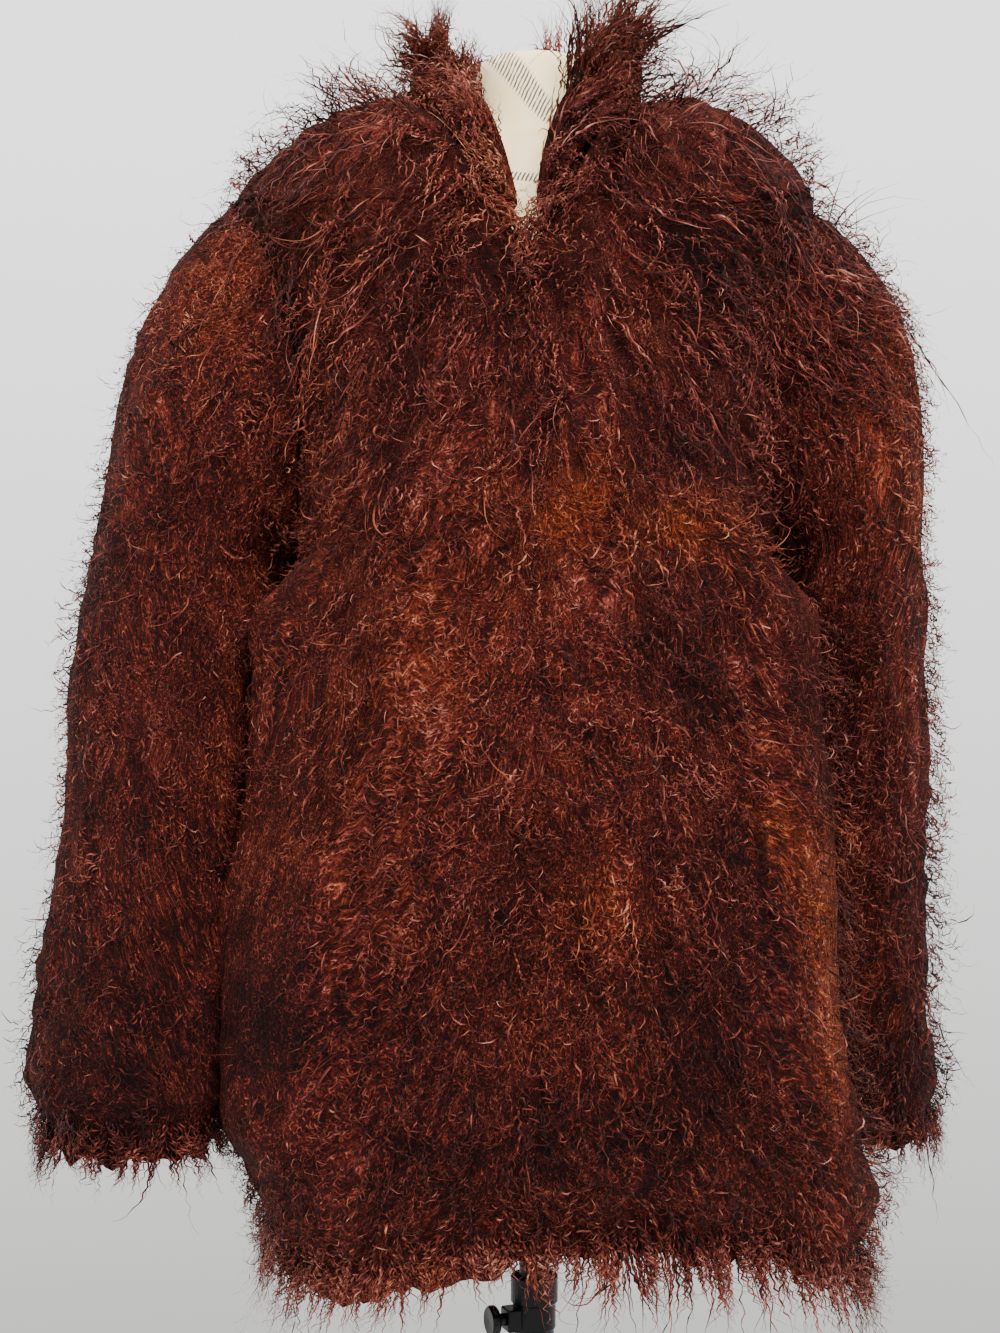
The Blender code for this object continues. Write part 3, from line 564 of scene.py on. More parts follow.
def reach_at(name):
    """The fur's reach at a piece's points, as vectors: a sleeve's follows the photo's outline, the
    shoulders stand fuller, and the two fronts' fur laps over the closing and the V neck's foot."""
    inside, outside = PANELS[name]
    reach = outside - inside
    x, z = inside[..., 0], inside[..., 2]
    if name == "collar":
        return reach * np.where(x < 0, 0.72, 1.0)[..., None]
    if name in SLEEVES:
        far = np.interp(z, *SLEEVE_REACH[name]) - 1
        far *= soft_step(-0.2, 0.5, unit(reach)[..., 0] * np.sign(x))
        return reach * (1 + far)[..., None]
    fuller = soft_step(1.325, 1.365, z) * soft_step(0.05, 0.09, np.abs(x)) * (
        1 - 0.8 * soft_step(0.12, 0.18, np.abs(x)))
    reach = reach * (1 + fuller * np.where(x > 0, 0.34, 0.20))[..., None]
    if name in FRONTS:
        from_front = norm(inside - inside[:, :1])
        near = fade(0.0, 0.035, from_front) * fade(COVERED_FOOT - 0.006, COVERED_FOOT + 0.010, z)
        lap = (1 if name == "left_front" else -1) * CLOSING_LAP * (1 + lumps(inside, 0.02, 6.0))
        reach[..., 0] -= near * (x[:, :1] - lean(z)[:, :1] + lap)
    return reach


def join_hide():
    """One search tree over the hide of all six pieces, with the fur's reach at each corner."""
    points, faces, reaches, start = [], [], [], 0
    for name, (inside, _) in PANELS.items():
        points.append(inside.reshape(-1, 3))
        fuller = 1 + FULLER_PRESSED * pressed_at(name)[..., None]
        reaches.append((reach_at(name) * fuller).reshape(-1, 3))
        faces.append(quads_of(*inside.shape[:2], name in SLEEVES) + start)
        start += len(points[-1])
    points, faces = np.concatenate(points), np.concatenate(faces)
    tree = BVHTree.FromPolygons(points.tolist(), faces.tolist())
    return tree, points, faces, np.concatenate(reaches)


HIDE_TREE, HIDE_POINTS, HIDE_FACES, HIDE_REACH = join_hide()


def on_hide(points):
    """The nearest points of the hide, and the fur's reach there as vectors."""
    hits = [HIDE_TREE.find_nearest(p) for p in points.tolist()]
    spots = np.array([hit[0] for hit in hits])
    corners = HIDE_FACES[[hit[2] for hit in hits]]
    away = norm(HIDE_POINTS[corners] - spots[:, None])
    weight = 1.0 / (away + 1e-5) ** 1.5
    weight /= weight.sum(1, keepdims=True)
    return spots, (HIDE_REACH[corners] * weight[..., None]).sum(1)


def from_edge(name):
    """How far each point of a piece lies from its hem, cuff or collar edge, and from the front edge."""
    inside = PANELS[name][0]
    row, first, last = (norm(inside - line) for line in (
        inside[PIECES[name].free_row][None], inside[:, :1], inside[:, -1:]))
    if name in FRONTS:
        return row, first + (inside[..., 2] < COVERED_FOOT - 0.01)
    return row, np.minimum(first, last) if name == "collar" else np.ones_like(row)


FAN_HALF, FAN_LOW, FAN_MORE = 0.14, 0.16, 0.70            # how far the comb fans out, and how much
SLOW_SWIRL, FINE_SWIRL = 0.50, 0.30      # how far it swirls, in radians
LOOSER = (0.98, 1.16)       # the fur is looser above these heights


def combed(points, out, rise):
    """The way the fur is combed: down and away from the closing, more so on the chest, to both sides
    of the V neck's foot, and with slow swirls. rise is 1 on the collar's free edge, where it stands
    up, and 0 on the body."""
    x, y, z = points.T
    high = soft_step(0.85, 1.25, z)
    fan = np.clip((x - PARTING_X) / FAN_HALF, -1, 1)
    fan = np.sign(fan) * np.abs(fan) ** 1.4 * (FAN_LOW + FAN_MORE * high)
    way = np.stack([fan, np.where(y < 0, -0.08, 0.10) * high, -np.ones_like(z)], -1)
    foot = (y < 0) * fade(0.018, 0.040, np.abs(x)) * soft_step(1.262, 1.29, z) * fade(1.325, 1.36, z)
    way[:, 0] -= 1.3 * np.sign(x + 0.006) * foot
    up = unit(np.stack([x * np.where(x > 0, 1.1, 0.8), 0.7 * y - 0.01, np.full_like(z, 0.085)], -1))
    way = way * (1 - rise)[:, None] + up * rise[:, None] * 1.6
    way = unit(way - out * (way * out).sum(-1, keepdims=True))
    loose = FINE_SWIRL + 0.30 * soft_step(*LOOSER, z)
    swirl = layered(points, ((SLOW_SWIRL, 0.11, 3.1), (loose, 0.030, 7.7)))
    return unit(way * np.cos(swirl)[:, None] + np.cross(out, way) * np.sin(swirl)[:, None])


# The V neck's opening as the photo shows it: half widths up its height, at the fur's face.
OPENING_Z = (1.332, 1.352, 1.385, 1.430, 1.480)
OPENING_HALF = (0.0, 0.015, 0.024, 0.039, 0.050)


def across_v(lines, share):
    """Which points of the strands cross the neck's opening, taken as that share of its width."""
    x, y, z = lines[..., 0], lines[..., 1], lines[..., 2]
    middle, half = lean(z), np.interp(z, OPENING_Z, OPENING_HALF) * share
    return (y < 0.01) & (np.abs(x - middle) < half), middle, half


def near_v(points):
    """How near root points are to the neck's opening, from 0 to 1."""
    _, middle, half = across_v(points, 1.0)
    aside = np.abs(points[:, 0] - middle) - half
    return fade(0.004, 0.030, aside) * soft_step(1.32, 1.35, points[:, 2]) * (points[:, 1] < 0)


def part_at_v(lines, rng):
    """Moves what crosses the V neck out to its ragged edge."""
    crosses, middle, half = across_v(lines, rng.uniform(0.55, 1.15, (len(lines), 1)))
    rim = middle + np.sign(lines[:, :1, 0] - middle[:, :1] + 1e-6) * half
    lines[..., 0] = np.where(crosses, rim + 0.35 * (lines[..., 0] - rim), lines[..., 0])


# ------------------------------------------------------------------ strands
# A kind of strand on each row: how many grow on a square centimetre and how many times more at a
# free edge and on the shoulders and collar, their length and how much it varies, their width and the
# hairs across it, where they start and end as shares of the fur's reach, the length and depth of one
# crimp, how much of it curls in and out rather than side to side, how closely they join the lock they
# belong to, how far their tips coil round and how late, and the points along one.
KINDS = table(
    "Kind", "name per_cm2 edge on_top length vary width hairs start end wave swing curl join coil late"
    " points",
    ("curls", 1.30, 4.0, 0.0, 0.026, 0.28, 0.0010, 2, 0.58, 1.08, 0.95, 1.00, 0.9, 0.60, 2.2, 2.2, 16),
    ("hooks", 1.45, 0.4, 0.0, 0.0066, 0.30, 0.0009, 1, 0.76, 1.05, 1.6, 0.20, 0.8, 0.0, 4.4, 1.3, 6),
    ("wisps", 0.17, 100.0, 6.0, 0.036, 0.28, 0.0011, 1, 0.45, 1.12, 1.10, 0.85, 1.0, 0.86, 0.7, 2.2, 18))
LOCKS_PER_CM2, LOCKS_AT_EDGE = 0.55, 2.0     # the locks that the strands gather into
CRIMP_LENGTH, CRIMP_DEPTH = 0.0072, 0.0013
STEPS = 9                   # places where a lock's path is laid over the hide
EDGE_BAND = 0.022           # how far in from an edge the fur is thicker, to close the edge
LONGEST_UPRIGHT = 0.056     # the longest lock that stands up from the collar
LONGER_EDGE = 0.26          # how much longer the locks at a free edge are
KEEPS_WAY = 1.2             # how strongly a strand keeps the way it had a step before
HANG = 0.9                  # how strongly a strand hangs down once it is past an edge
FREE_PAST = 0.35            # the share of a step by which a strand is past an edge


def roots_on(name, per_cm2, more_at_edge, rng, more_on_top=0.0):
    """Random root points spread evenly over a piece's hide, thicker along its free edges and
    thinner where it is pressed, each with its place up the rows and its nearness to an edge."""
    inside, outside = PANELS[name]
    rows, columns = inside.shape[:2]
    faces = quads_of(rows, columns, name in SLEEVES)
    corner = inside.reshape(-1, 3)[faces]
    area = norm(np.cross(corner[:, 2] - corner[:, 0], corner[:, 3] - corner[:, 1])) / 2
    by_row, by_column = (fade(0, EDGE_BAND, away) for away in from_edge(name))
    edge = np.maximum(by_row, 0.6 * by_column)
    reached = norm(outside - inside)
    hidden = pressed_at(name) * soft_step(0.72, 0.80, inside[..., 2])
    if name not in SLEEVES:
        hidden = hidden * (inside[..., 0] < 0)
    grown = (0.75 + 0.25 * soft_step(0.006, 0.024, reached)) * (1 - 0.55 * hidden) * (
        1 + more_at_edge * edge + more_on_top * soft_step(1.18, 1.28, inside[..., 2]))
    grown, edge = (values.ravel()[faces].mean(1) for values in (grown, edge))
    total = np.cumsum(area * grown)
    count = int(total[-1] * 1e4 * per_cm2 * PIECES[name].density)
    spots = (np.arange(count) + rng.random(count)) / count * total[-1]
    face = np.minimum(np.searchsorted(total, spots), len(faces) - 1)
    u, v = rng.random((2, count, 1))
    a, b, c, d = (corner[face, k] for k in range(4))
    points = (a * (1 - u) + b * u) * (1 - v) + (d * (1 - u) + c * u) * v
    return points, (faces[face, 0] // columns + u[:, 0]) / (rows - 1), edge[face]


def paths(points, rise, length, start, end, lift, drift, sway):
    """The centre lines of strands: from each root along the combed hide, rising through the fur's
    depth from start to end, and hanging free past an edge."""
    spots, reaches = on_hide(points)
    lines, outs, last_way = [], [], None
    here, free = spots, np.zeros(len(points), bool)
    stride = (length / (STEPS - 1))[:, None]
    hang = np.array([0, 0, -HANG]) * (1 - rise)[:, None]
    lean_out = (rise * (0.10 + 1.5 * np.abs(sway)) * np.where(points[:, 0] > 0, 1.5, 0.2))[:, None]
    for step in range(STEPS):
        t = step / (STEPS - 1)
        size = norm(reaches, True)
        out = reaches / np.maximum(size, 1e-6)
        size = np.maximum(size, LEAST_REACH)[:, 0]
        way = combed(here, out, rise)
        way = unit(way + np.cross(out, way) * sway[:, None])
        if last_way is not None:
            way = unit(way + KEEPS_WAY * last_way)
        height = start + (end - start) * np.sin(np.pi / 2 * t) ** 0.9
        lines.append(here + out * (height * size + (lift * t ** 2))[:, None]
                     + np.cross(out, way) * (drift * t ** 2)[:, None])
        outs.append(out)
        ahead = here + way * stride
        found, next_reaches = on_hide(ahead)
        free |= norm(found - ahead) > FREE_PAST * stride[:, 0]
        fall = unit(way + hang + out * lean_out)
        loose = free[:, None]
        here = np.where(loose, here + fall * stride, found)
        reaches = np.where(loose, reaches * 0.97, next_reaches)
        last_way = np.where(loose, fall, way)
    return np.stack(lines, 1), np.stack(outs, 1)


def along_paths(lines, count):
    """The same paths with that many evenly spaced points, on smooth curves."""
    last = lines.shape[1] - 1
    steps = np.linspace(0, last, count)
    i = np.minimum(np.floor(steps).astype(int), last - 1)
    near = (lines[:, np.clip(i + k, 0, last)] for k in (-1, 0, 1, 2))
    return smooth(*near, (steps - i)[None, :, None])


def crimp(lines, outs, kind, phase, wave, swing, hand, rng):
    """Crimped ribbons along the paths, coiled at their tips: their points in pairs, how far out each
    stands, and the shares along one."""
    def mixed(first, second, angle):
        """Vectors turned from the first towards the second by an angle."""
        return first * np.cos(angle)[..., None] + second * np.sin(angle)[..., None]

    count = len(lines)
    lines, outs = along_paths(lines, kind.points), unit(along_paths(outs, kind.points))
    t = np.linspace(0, 1, kind.points)[None, :]
    step = norm(np.diff(lines, axis=1, prepend=lines[:, :1]))
    travelled = np.cumsum(step, axis=1)
    ahead = unit(np.gradient(lines, axis=1))
    side = unit(np.cross(ahead, outs))
    out = unit(np.cross(side, ahead))
    coil = kind.coil * rng.normal(0.8, 0.45, (count, 1)) * hand[:, None]
    slant = coil * t ** kind.late
    across = mixed(side, out, rng.normal(0, 0.55, (count, 1)))
    move = (ahead * (np.cos(slant) - 1)[..., None] + across * np.sin(slant)[..., None]) * step[..., None]
    lines = lines + np.cumsum(move, axis=1)
    deep = swing[:, None] * (0.35 + 0.65 * soft_step(0.05, 0.5, t) + 0.25 * soft_step(0.65, 1.0, t))
    uneven = rng.normal(0, 0.6, (count, 3))[:, :, None] * np.sin(
        np.pi * t[:, None] * np.array([1.0, 2.3, 3.7])[None, :, None] + phase[:, None, None])
    turns = phase[:, None] + 2 * np.pi * travelled / wave[:, None] * (1 + 0.30 * t ** 2) + uneven.sum(1)
    centre = (lines + side * (deep * np.sin(turns) * hand[:, None])[..., None]
              + out * (kind.curl * deep * np.cos(turns))[..., None])
    lean_over = rng.normal(0, 0.30, (count, 1)) + 0.4 * np.sin(turns * 0.5)
    edge = unit(np.cross(unit(np.gradient(centre, axis=1)), unit(mixed(out, side, lean_over))))
    taper = soft_step(-0.10, 0.15, t) * (1 - 0.85 * soft_step(0.45, 1.0, t))
    half = (kind.width / 2 * np.exp(rng.normal(0, 0.22, (count, 1))) * taper)[..., None]
    return np.stack([centre - edge * half, centre + edge * half], 2), 0.5 + 0.5 * np.cos(turns), t


def within(pair, lowest, highest):
    """Which ribbons stay close enough to the frame's box, which its allowance lets fur pass a little."""
    spare = 0.9 * (0.03 * (highest - lowest) + 0.010)
    return ((pair > lowest - spare) & (pair < highest + spare)).all((1, 2, 3))


def put_marks(made, marks):
    """Named numbers at an object's points, which its material reads."""
    for mark, values in marks.items():
        layer = made.data.attributes.new(mark, "FLOAT", "POINT")
        layer.data.foreach_set("value", np.ascontiguousarray(values, np.float32).ravel())


def ribbon_object(name, pair, marks, material):
    """One object of all the ribbons, with named marks at its points and a laid-out UV map."""
    count, points = pair.shape[:2]
    shape = (count, points, 2)
    number = np.arange(count)
    faces = (quads_of(points, 2, False)[None] + (number * points * 2)[:, None, None]).reshape(-1, 4)
    made = mesh_object(name, pair.reshape(-1, 3), faces, material)
    put_marks(made, {mark: np.broadcast_to(values[..., None], shape) for mark, values in marks.items()})
    columns = max(int(math.sqrt(count / 8)), 1)
    rows = -(-count // columns)
    u = (number[:, None] % columns + 0.02 + 0.96 * np.linspace(0, 1, points)[None]) / columns
    v = ((number // columns)[:, None, None] + np.array([0.12, 0.88])[None, None]) / rows
    spread = np.stack([np.broadcast_to(u[..., None], shape), np.broadcast_to(v, shape)], -1)
    uv = made.data.uv_layers.new(name="OFBake")
    uv.data.foreach_set("uv", spread.reshape(-1, 2)[faces.ravel()].astype(np.float32).ravel())
    return made


def flow_over(grid, rise):
    """Metres across and along the combed fur at each point of a grid, from its first row."""
    slopes = np.gradient(grid, axis=(0, 1))
    out = unit(np.cross(*slopes))
    way = combed(grid.reshape(-1, 3), out.reshape(-1, 3), rise.ravel()).reshape(grid.shape)
    by_row, by_column = ((way * unit(slope)).sum(-1) for slope in slopes)
    over = norm(np.diff(grid, axis=1, prepend=grid[:, :1])).cumsum(1)
    down = norm(np.diff(grid, axis=0, prepend=grid[:1])).cumsum(0)
    slope = by_column / np.where(np.abs(by_row) < 0.4, np.copysign(0.4, by_row), by_row)
    across = over.copy()
    for i in range(1, len(grid)):
        before, beyond = over[i - 1], over[i] - slope[i] * (down[i] - down[i - 1])
        across[i] = np.interp(beyond, before, across[i - 1])
        across[i] += beyond - np.clip(beyond, before[0], before[-1])
    return across, down * np.sqrt(1 + slope ** 2)


# ------------------------------------------------------------------ colours and finishes
def linear(hex_colour):
    """An sRGB hex colour as linear RGBA."""
    channels = [int(hex_colour[i:i + 2], 16) / 255 for i in (1, 3, 5)]
    return [c / 12.92 if c <= 0.04045 else ((c + 0.055) / 1.055) ** 2.4 for c in channels] + [1.0]


def add(tree, kind, sets=(), links=(), out=0):
    """Adds a node to a tree and gives one of its outputs. sets has its properties, plain inputs and
    colour stops, and links the outputs that feed its inputs."""
    made = tree.nodes.new("ShaderNode" + kind)
    for key, value in dict(sets).items():
        if key == "stops":
            points = made.color_ramp.elements
            for _ in value[len(points):]:
                points.new(0.5)
            for point, (place, colour) in zip(points, value):
                point.position, point.color = place, linear(colour)
        elif isinstance(key, str) and hasattr(made, key):
            setattr(made, key, value)
        else:
            made.inputs[key].default_value = value
    for key, output in dict(links).items():
        tree.links.new(output, made.inputs[key])
    return made.outputs[out]


def finish(name, surface=None, **shader_sets):
    """A new material. surface makes its nodes and gives what feeds the shader's inputs, and
    shader_sets are the shader's plain values."""
    made = bpy.data.materials.new(name)
    made.use_nodes = True
    tree = made.node_tree
    shader = tree.nodes["Principled BSDF"]
    for key, value in shader_sets.items():
        shader.inputs[key.replace("_", " ")].default_value = value
    for key, output in (surface(partial(add, tree)) if surface else {}).items():
        tree.links.new(output, shader.inputs[key])
    return made


def summed(node, *terms):
    """A weighted sum of outputs: pairs of (output, weight), and plain numbers."""
    total = None
    for term in terms:
        sets, links = {"operation": "ADD", 1: term}, {0: total}
        if isinstance(term, tuple):
            sets, links = {"operation": "MULTIPLY", 1: term[1]}, {0: term[0]}
            if total is not None:
                sets["operation"], links[2] = "MULTIPLY_ADD", total
        total = node("Math", sets, links)
    return total


FULL_TURN = 2 * math.pi
# The ramps' darkest stops serve painted shade, and their palest stops serve painted highlights.
BROWN = [(0.0, "#0d0303"), (0.28, "#290b09"), (0.52, "#561c15"), (0.76, "#854236"), (1.0, "#b27d70")]
RUST = [(0.0, "#130402"), (0.28, "#3a1107"), (0.52, "#6f2a12"), (0.76, "#9e4f29"), (1.0, "#cf9062")]


def dyed(node, light, share):
    """The dye's brown and its faded rust, both from dark to light, mixed by share. The lightness that
    picks the colour holds painted shade and highlights as well as the dye's own tone.
    """
    brown, rust = (node("ValToRGB", {"stops": stops}, {0: light}) for stops in (BROWN, RUST))
    return node("Mix", {"data_type": "RGBA"}, {0: share, 6: brown, 7: rust}, out=2)


def lamb_fur(node):
    """Long crimped lamb fur, piece-dyed chestnut, with rusty locks. The crests of the crimp get a
    painted pinkish highlight, and the troughs and the lines between hairs get painted shade near black.
    The rust at the tips is partly painted light shining through them."""
    tone, rust, crest, lock, across, along = (
        node("Attribute", {"attribute_name": mark}, out="Fac")
        for mark in ("tone", "rust", "crest", "lock", "across", "along"))
    place = node("CombineXYZ", links={0: lock, 1: across, 2: along})
    streak = node("TexNoise", {"Scale": 1.0, "Detail": 2.0}, {"Vector": place})
    hair = node("Math", {"operation": "COSINE"}, {0: summed(node, (across, FULL_TURN), (streak, 2.4))})
    # Painted highlight on the crimp's crests; painted shade on the lines between hairs.
    light = summed(node, (tone, 1.0), (crest, 0.50), (hair, -0.10), (streak, 0.5), -0.58)
    return {"Base Color": dyed(node, light, rust),
            "Normal": node("Bump", {"Strength": 0.7, "Distance": 0.0005}, {"Height": hair})}


def laid(node, across, along, wide, long, seed):
    """A place on the fur's own plane, counted in patches that many metres wide and long."""
    return node("CombineXYZ", links={0: summed(node, (across, 1 / wide), seed),
                                     1: summed(node, (along, 1 / long), seed)})


def noise_at(node, *patch):
    """Soft noise on the fur's own plane, with one lump in each patch."""
    return node("TexNoise", {"Scale": 1.0, "Detail": 2.0}, {"Vector": laid(node, *patch)})


def crimped_strands(node, across, along, wide, wave_length, seed):
    """Hairs that lie side by side down the fur, crimped out of step from place to place, each fading
    in and out. Gives how far a spot stands up, from 0 in a gap to 1 on a hair."""
    drift = noise_at(node, across, along, 0.008, 0.010, seed)
    phase = summed(node, (along, FULL_TURN / wave_length), (drift, 16.0))
    swing = node("Math", {"operation": "SINE"}, {0: phase})
    crimped = summed(node, (swing, 0.45 * wide), (across, 1.0))
    return node("MapRange", {1: 0.34, 2: 0.68},
                {0: noise_at(node, crimped, along, wide, wave_length, seed + 2.0)})


def curled_tips(node, across, along, size, seed):
    """Curled hair tips seen end on: one C of a hair's width in each patch of a loose grid, turned its
    own way. Gives how far a spot is on one, from 0 to 1."""
    place = laid(node, across, along, size, size / 0.7, seed)
    cell = node("TexVoronoi", {"voronoi_dimensions": "2D", "Scale": 1.0}, {"Vector": place}).node.outputs
    own = node("SeparateColor", links={0: cell["Color"]}).node.outputs
    from_middle = node("VectorMath", {"operation": "SUBTRACT"}, {0: place, 1: cell["Position"]})
    off = node("SeparateXYZ", links={0: from_middle}).node.outputs
    turn = node("Math", {"operation": "ARCTAN2"}, {0: off[1], 1: off[0]})
    facing = node("Math", {"operation": "COSINE"}, {0: summed(node, (own[0], FULL_TURN), (turn, 1.0))})
    away = node("Math", {"operation": "SUBTRACT"},
                {0: cell["Distance"], 1: summed(node, (own[1], 0.24), 0.18)})
    tip = node("MapRange", {1: 0.13, 2: 0.02}, {0: node("Math", {"operation": "ABSOLUTE"}, {0: away})})
    part = node("MapRange", {1: -0.45, 2: 0.15}, {0: facing})
    for share in (part, summed(node, (own[2], 0.75), 0.25)):
        tip = node("Math", {"operation": "MULTIPLY"}, {0: tip, 1: share})
    return tip


def under_fur(node):
    """The mass of the fur below its loose curls: crimped strands combed down it, with painted shade near
    black between them, over soft clumps with painted shade between them. The curled tips are painted
    light as highlights. Its strands are drawn a little wider than a real lock's, to show."""
    tone, rust, across, along = (node("Attribute", {"attribute_name": mark}, out="Fac")
                                 for mark in ("tone", "rust", "across", "along"))
    strands = crimped_strands(node, across, along, 0.0009, 0.0036, 3.0)
    fuzz = node("TexNoise", {"Scale": 620.0, "Detail": 3.0, "Roughness": 0.65},
                {"Vector": node("TexCoord", out="Object")})
    tips, *more = (curled_tips(node, across, along, *patch)
                   for patch in ((0.0062, 31.0), (0.0050, 17.0), (0.0040, 3.0)))
    for also in more:
        tips = node("Math", {"operation": "MAXIMUM"}, {0: also, 1: tips})
    clump = noise_at(node, across, along, 0.007, 0.012, 5.0)
    # Painted light on the strands, the curled tips and the clumps; painted shade in the gaps between
    # them.
    light = summed(node, (tone, 0.9), (strands, 0.22), (fuzz, 0.90), (tips, 0.44), (clump, 0.40), -0.89)
    relief = summed(node, (strands, 0.12), (fuzz, 0.25), (tips, 0.24), (clump, 0.6))
    return {"Base Color": dyed(node, light, rust),
            "Normal": node("Bump", {"Strength": 1.0, "Distance": 0.006}, {"Height": relief})}


def over_object(node, *settings):
    """Noises on the object's own coordinates, one for each set of settings."""
    place = node("TexCoord", out="Object")
    return [node("TexNoise", sets, {"Vector": place}) for sets in settings]


def suede(node):
    """Tanned lamb hide, flesh side: a short brushed nap in dull brown."""
    nap, cloud = over_object(node, {"Scale": 900.0, "Detail": 3.0}, {"Scale": 22.0, "Detail": 4.0})
    return {"Base Color": node("ValToRGB", {"stops": [(0.3, "#3a1d14"), (0.7, "#6b3c2a")]},
                               {0: summed(node, (nap, 0.4), (cloud, 0.6))}),
            "Normal": node("Bump", {"Strength": 0.5, "Distance": 0.0003}, {"Height": nap})}


def printed_cotton(node):
    """Cream cotton jersey stretched over the form: a fine knit, and a worn print of short grey-brown
    hatching in loose bands, which is generic."""
    place = node("TexCoord", out="Object")

    def bands(turn, scale, rough, low, high, shift=0.0):
        """A wave pattern turned about the viewing axis, as a mask between low and high."""
        turned = node("Mapping", {"Rotation": (0.0, turn, 0.0)}, {"Vector": place})
        wave = node("TexWave", {"Scale": scale, "Distortion": rough, "Detail": 2.0,
                                "Phase Offset": shift, "Detail Scale": 1.2}, {"Vector": turned}, "Fac")
        return node("MapRange", {1: low, 2: high}, {0: wave})

    ink = node("Math", {"operation": "MAXIMUM"}, {0: bands(0.9, 3.6, 2.5, 0.90, 0.96, -2.5),
                                                  1: bands(1.57, 3.1, 1.2, 0.985, 0.995)})
    hatch = bands(-0.45, 120.0, 1.5, 0.45, 0.75)
    worn, mottle = over_object(node, {"Scale": 260.0, "Detail": 3.0}, {"Scale": 55.0, "Detail": 3.0})
    for share in (hatch, worn):
        ink = node("Math", {"operation": "MULTIPLY"}, {0: ink, 1: share})
    cloth = node("ValToRGB", {"stops": [(0.3, "#ffdf9f"), (0.7, "#ffeec2")]}, {0: mottle})
    knit = node("TexWave", {"Scale": 700.0, "Distortion": 1.0}, {"Vector": place}, "Fac")
    return {"Base Color": node("Mix", {"data_type": "RGBA", 7: linear("#4d453c")},
                               {0: summed(node, (ink, 2.2)), 6: cloth}, out=2),
            "Normal": node("Bump", {"Strength": 0.25, "Distance": 0.0004}, {"Height": knit})}


def painted_steel(roughness, node):
    """Steel tube, powder coated black: satin, with a fine orange peel and hand marks that dull it."""
    peel, rubbed = over_object(node, {"Scale": 700.0, "Detail": 2.0}, {"Scale": 26.0, "Detail": 5.0})
    stops = [(0.35, "#08080a"), (0.7, "#151517")]
    return {"Base Color": node("ValToRGB", {"stops": stops}, {0: rubbed}),
            "Roughness": node("MapRange", {3: roughness - 0.10, 4: roughness + 0.14}, {0: rubbed}),
            "Normal": node("Bump", {"Strength": 0.25, "Distance": 0.0002}, {"Height": peel})}


def moulded_nylon(node):
    """Glossy black moulded nylon: smooth skin with faint flow marks and a little dust."""
    flow, dust = over_object(node, {"Scale": 60.0, "Detail": 3.0, "Distortion": 1.5},
                             {"Scale": 900.0, "Detail": 2.0})
    stops = [(0.55, "#050507"), (0.80, "#121214")]
    return {"Base Color": node("ValToRGB", {"stops": stops}, {0: dust}),
            "Roughness": node("MapRange", {3: 0.22, 4: 0.40}, {0: flow}),
            "Normal": node("Bump", {"Strength": 0.12, "Distance": 0.0005}, {"Height": flow})}


def cast_iron(node):
    """Cast iron under black paint: a pebbled sand-cast skin, paint worn thin on its high spots."""
    sand, wear = over_object(node, {"Scale": 380.0, "Detail": 4.0}, {"Scale": 18.0, "Detail": 6.0})
    stops = [(0.40, "#09090a"), (0.62, "#131315"), (0.75, "#26231f")]
    return {"Base Color": node("ValToRGB", {"stops": stops},
                               {0: summed(node, (sand, 0.4), (wear, 0.6))}),
            "Roughness": node("MapRange", {3: 0.38, 4: 0.62}, {0: wear}),
            "Normal": node("Bump", {"Strength": 0.5, "Distance": 0.0006}, {"Height": sand})}


# ------------------------------------------------------------------ the coat
SEED = 1331
# Patches of colour that the front shows, in metres: their middle, their half sizes, how far they
# slant in degrees, and how much rust and light they add.
PATCHES = table(
    "Patch", "x z half_x half_z slant rust light",
    (0.023, 1.142, 0.020, 0.045, -35, 0.85, 0.01), (0.090, 1.128, 0.034, 0.024, 0, 0.90, 0.09),
    (0.145, 0.935, 0.018, 0.018, -40, 0.75, 0.08), (0.188, 0.880, 0.022, 0.062, 25, 0.70, 0.24),
    (0.196, 0.790, 0.018, 0.064, 10, 0.80, 0.26), (-0.215, 1.290, 0.050, 0.070, 0, 0.40, 0.06),
    (0.240, 1.200, 0.035, 0.120, 0, 0.35, 0.06), (0.034, 0.895, 0.030, 0.022, 0, 0.50, 0.04),
    (-0.026, 1.350, 0.012, 0.035, 0, 0.5, 0.05), (-0.10, 1.05, 0.12, 0.12, 0, 0.15, 0.03),
    (-0.165, 1.268, 0.016, 0.018, 0, -0.3, -0.20), (0.108, 1.300, 0.022, 0.040, 0, -0.3, -0.12),
    (0.090, 1.178, 0.034, 0.022, 0, -0.3, -0.14), (0.130, 0.925, 0.014, 0.014, 0, -0.3, -0.20),
    (-0.178, 0.807, 0.030, 0.030, 0, -0.2, -0.20), (0.075, 1.035, 0.050, 0.020, -20, -0.1, -0.12))


RUST_BASE, RUST_NOISE = 0.08, ((0.20, 0.09, 21.0), (0.12, 0.03, 5.0))
LIGHT_BASE, LIGHT_NOISE = 0.45, ((0.13, 0.06, 13.0), (0.13, 0.018, 2.0))


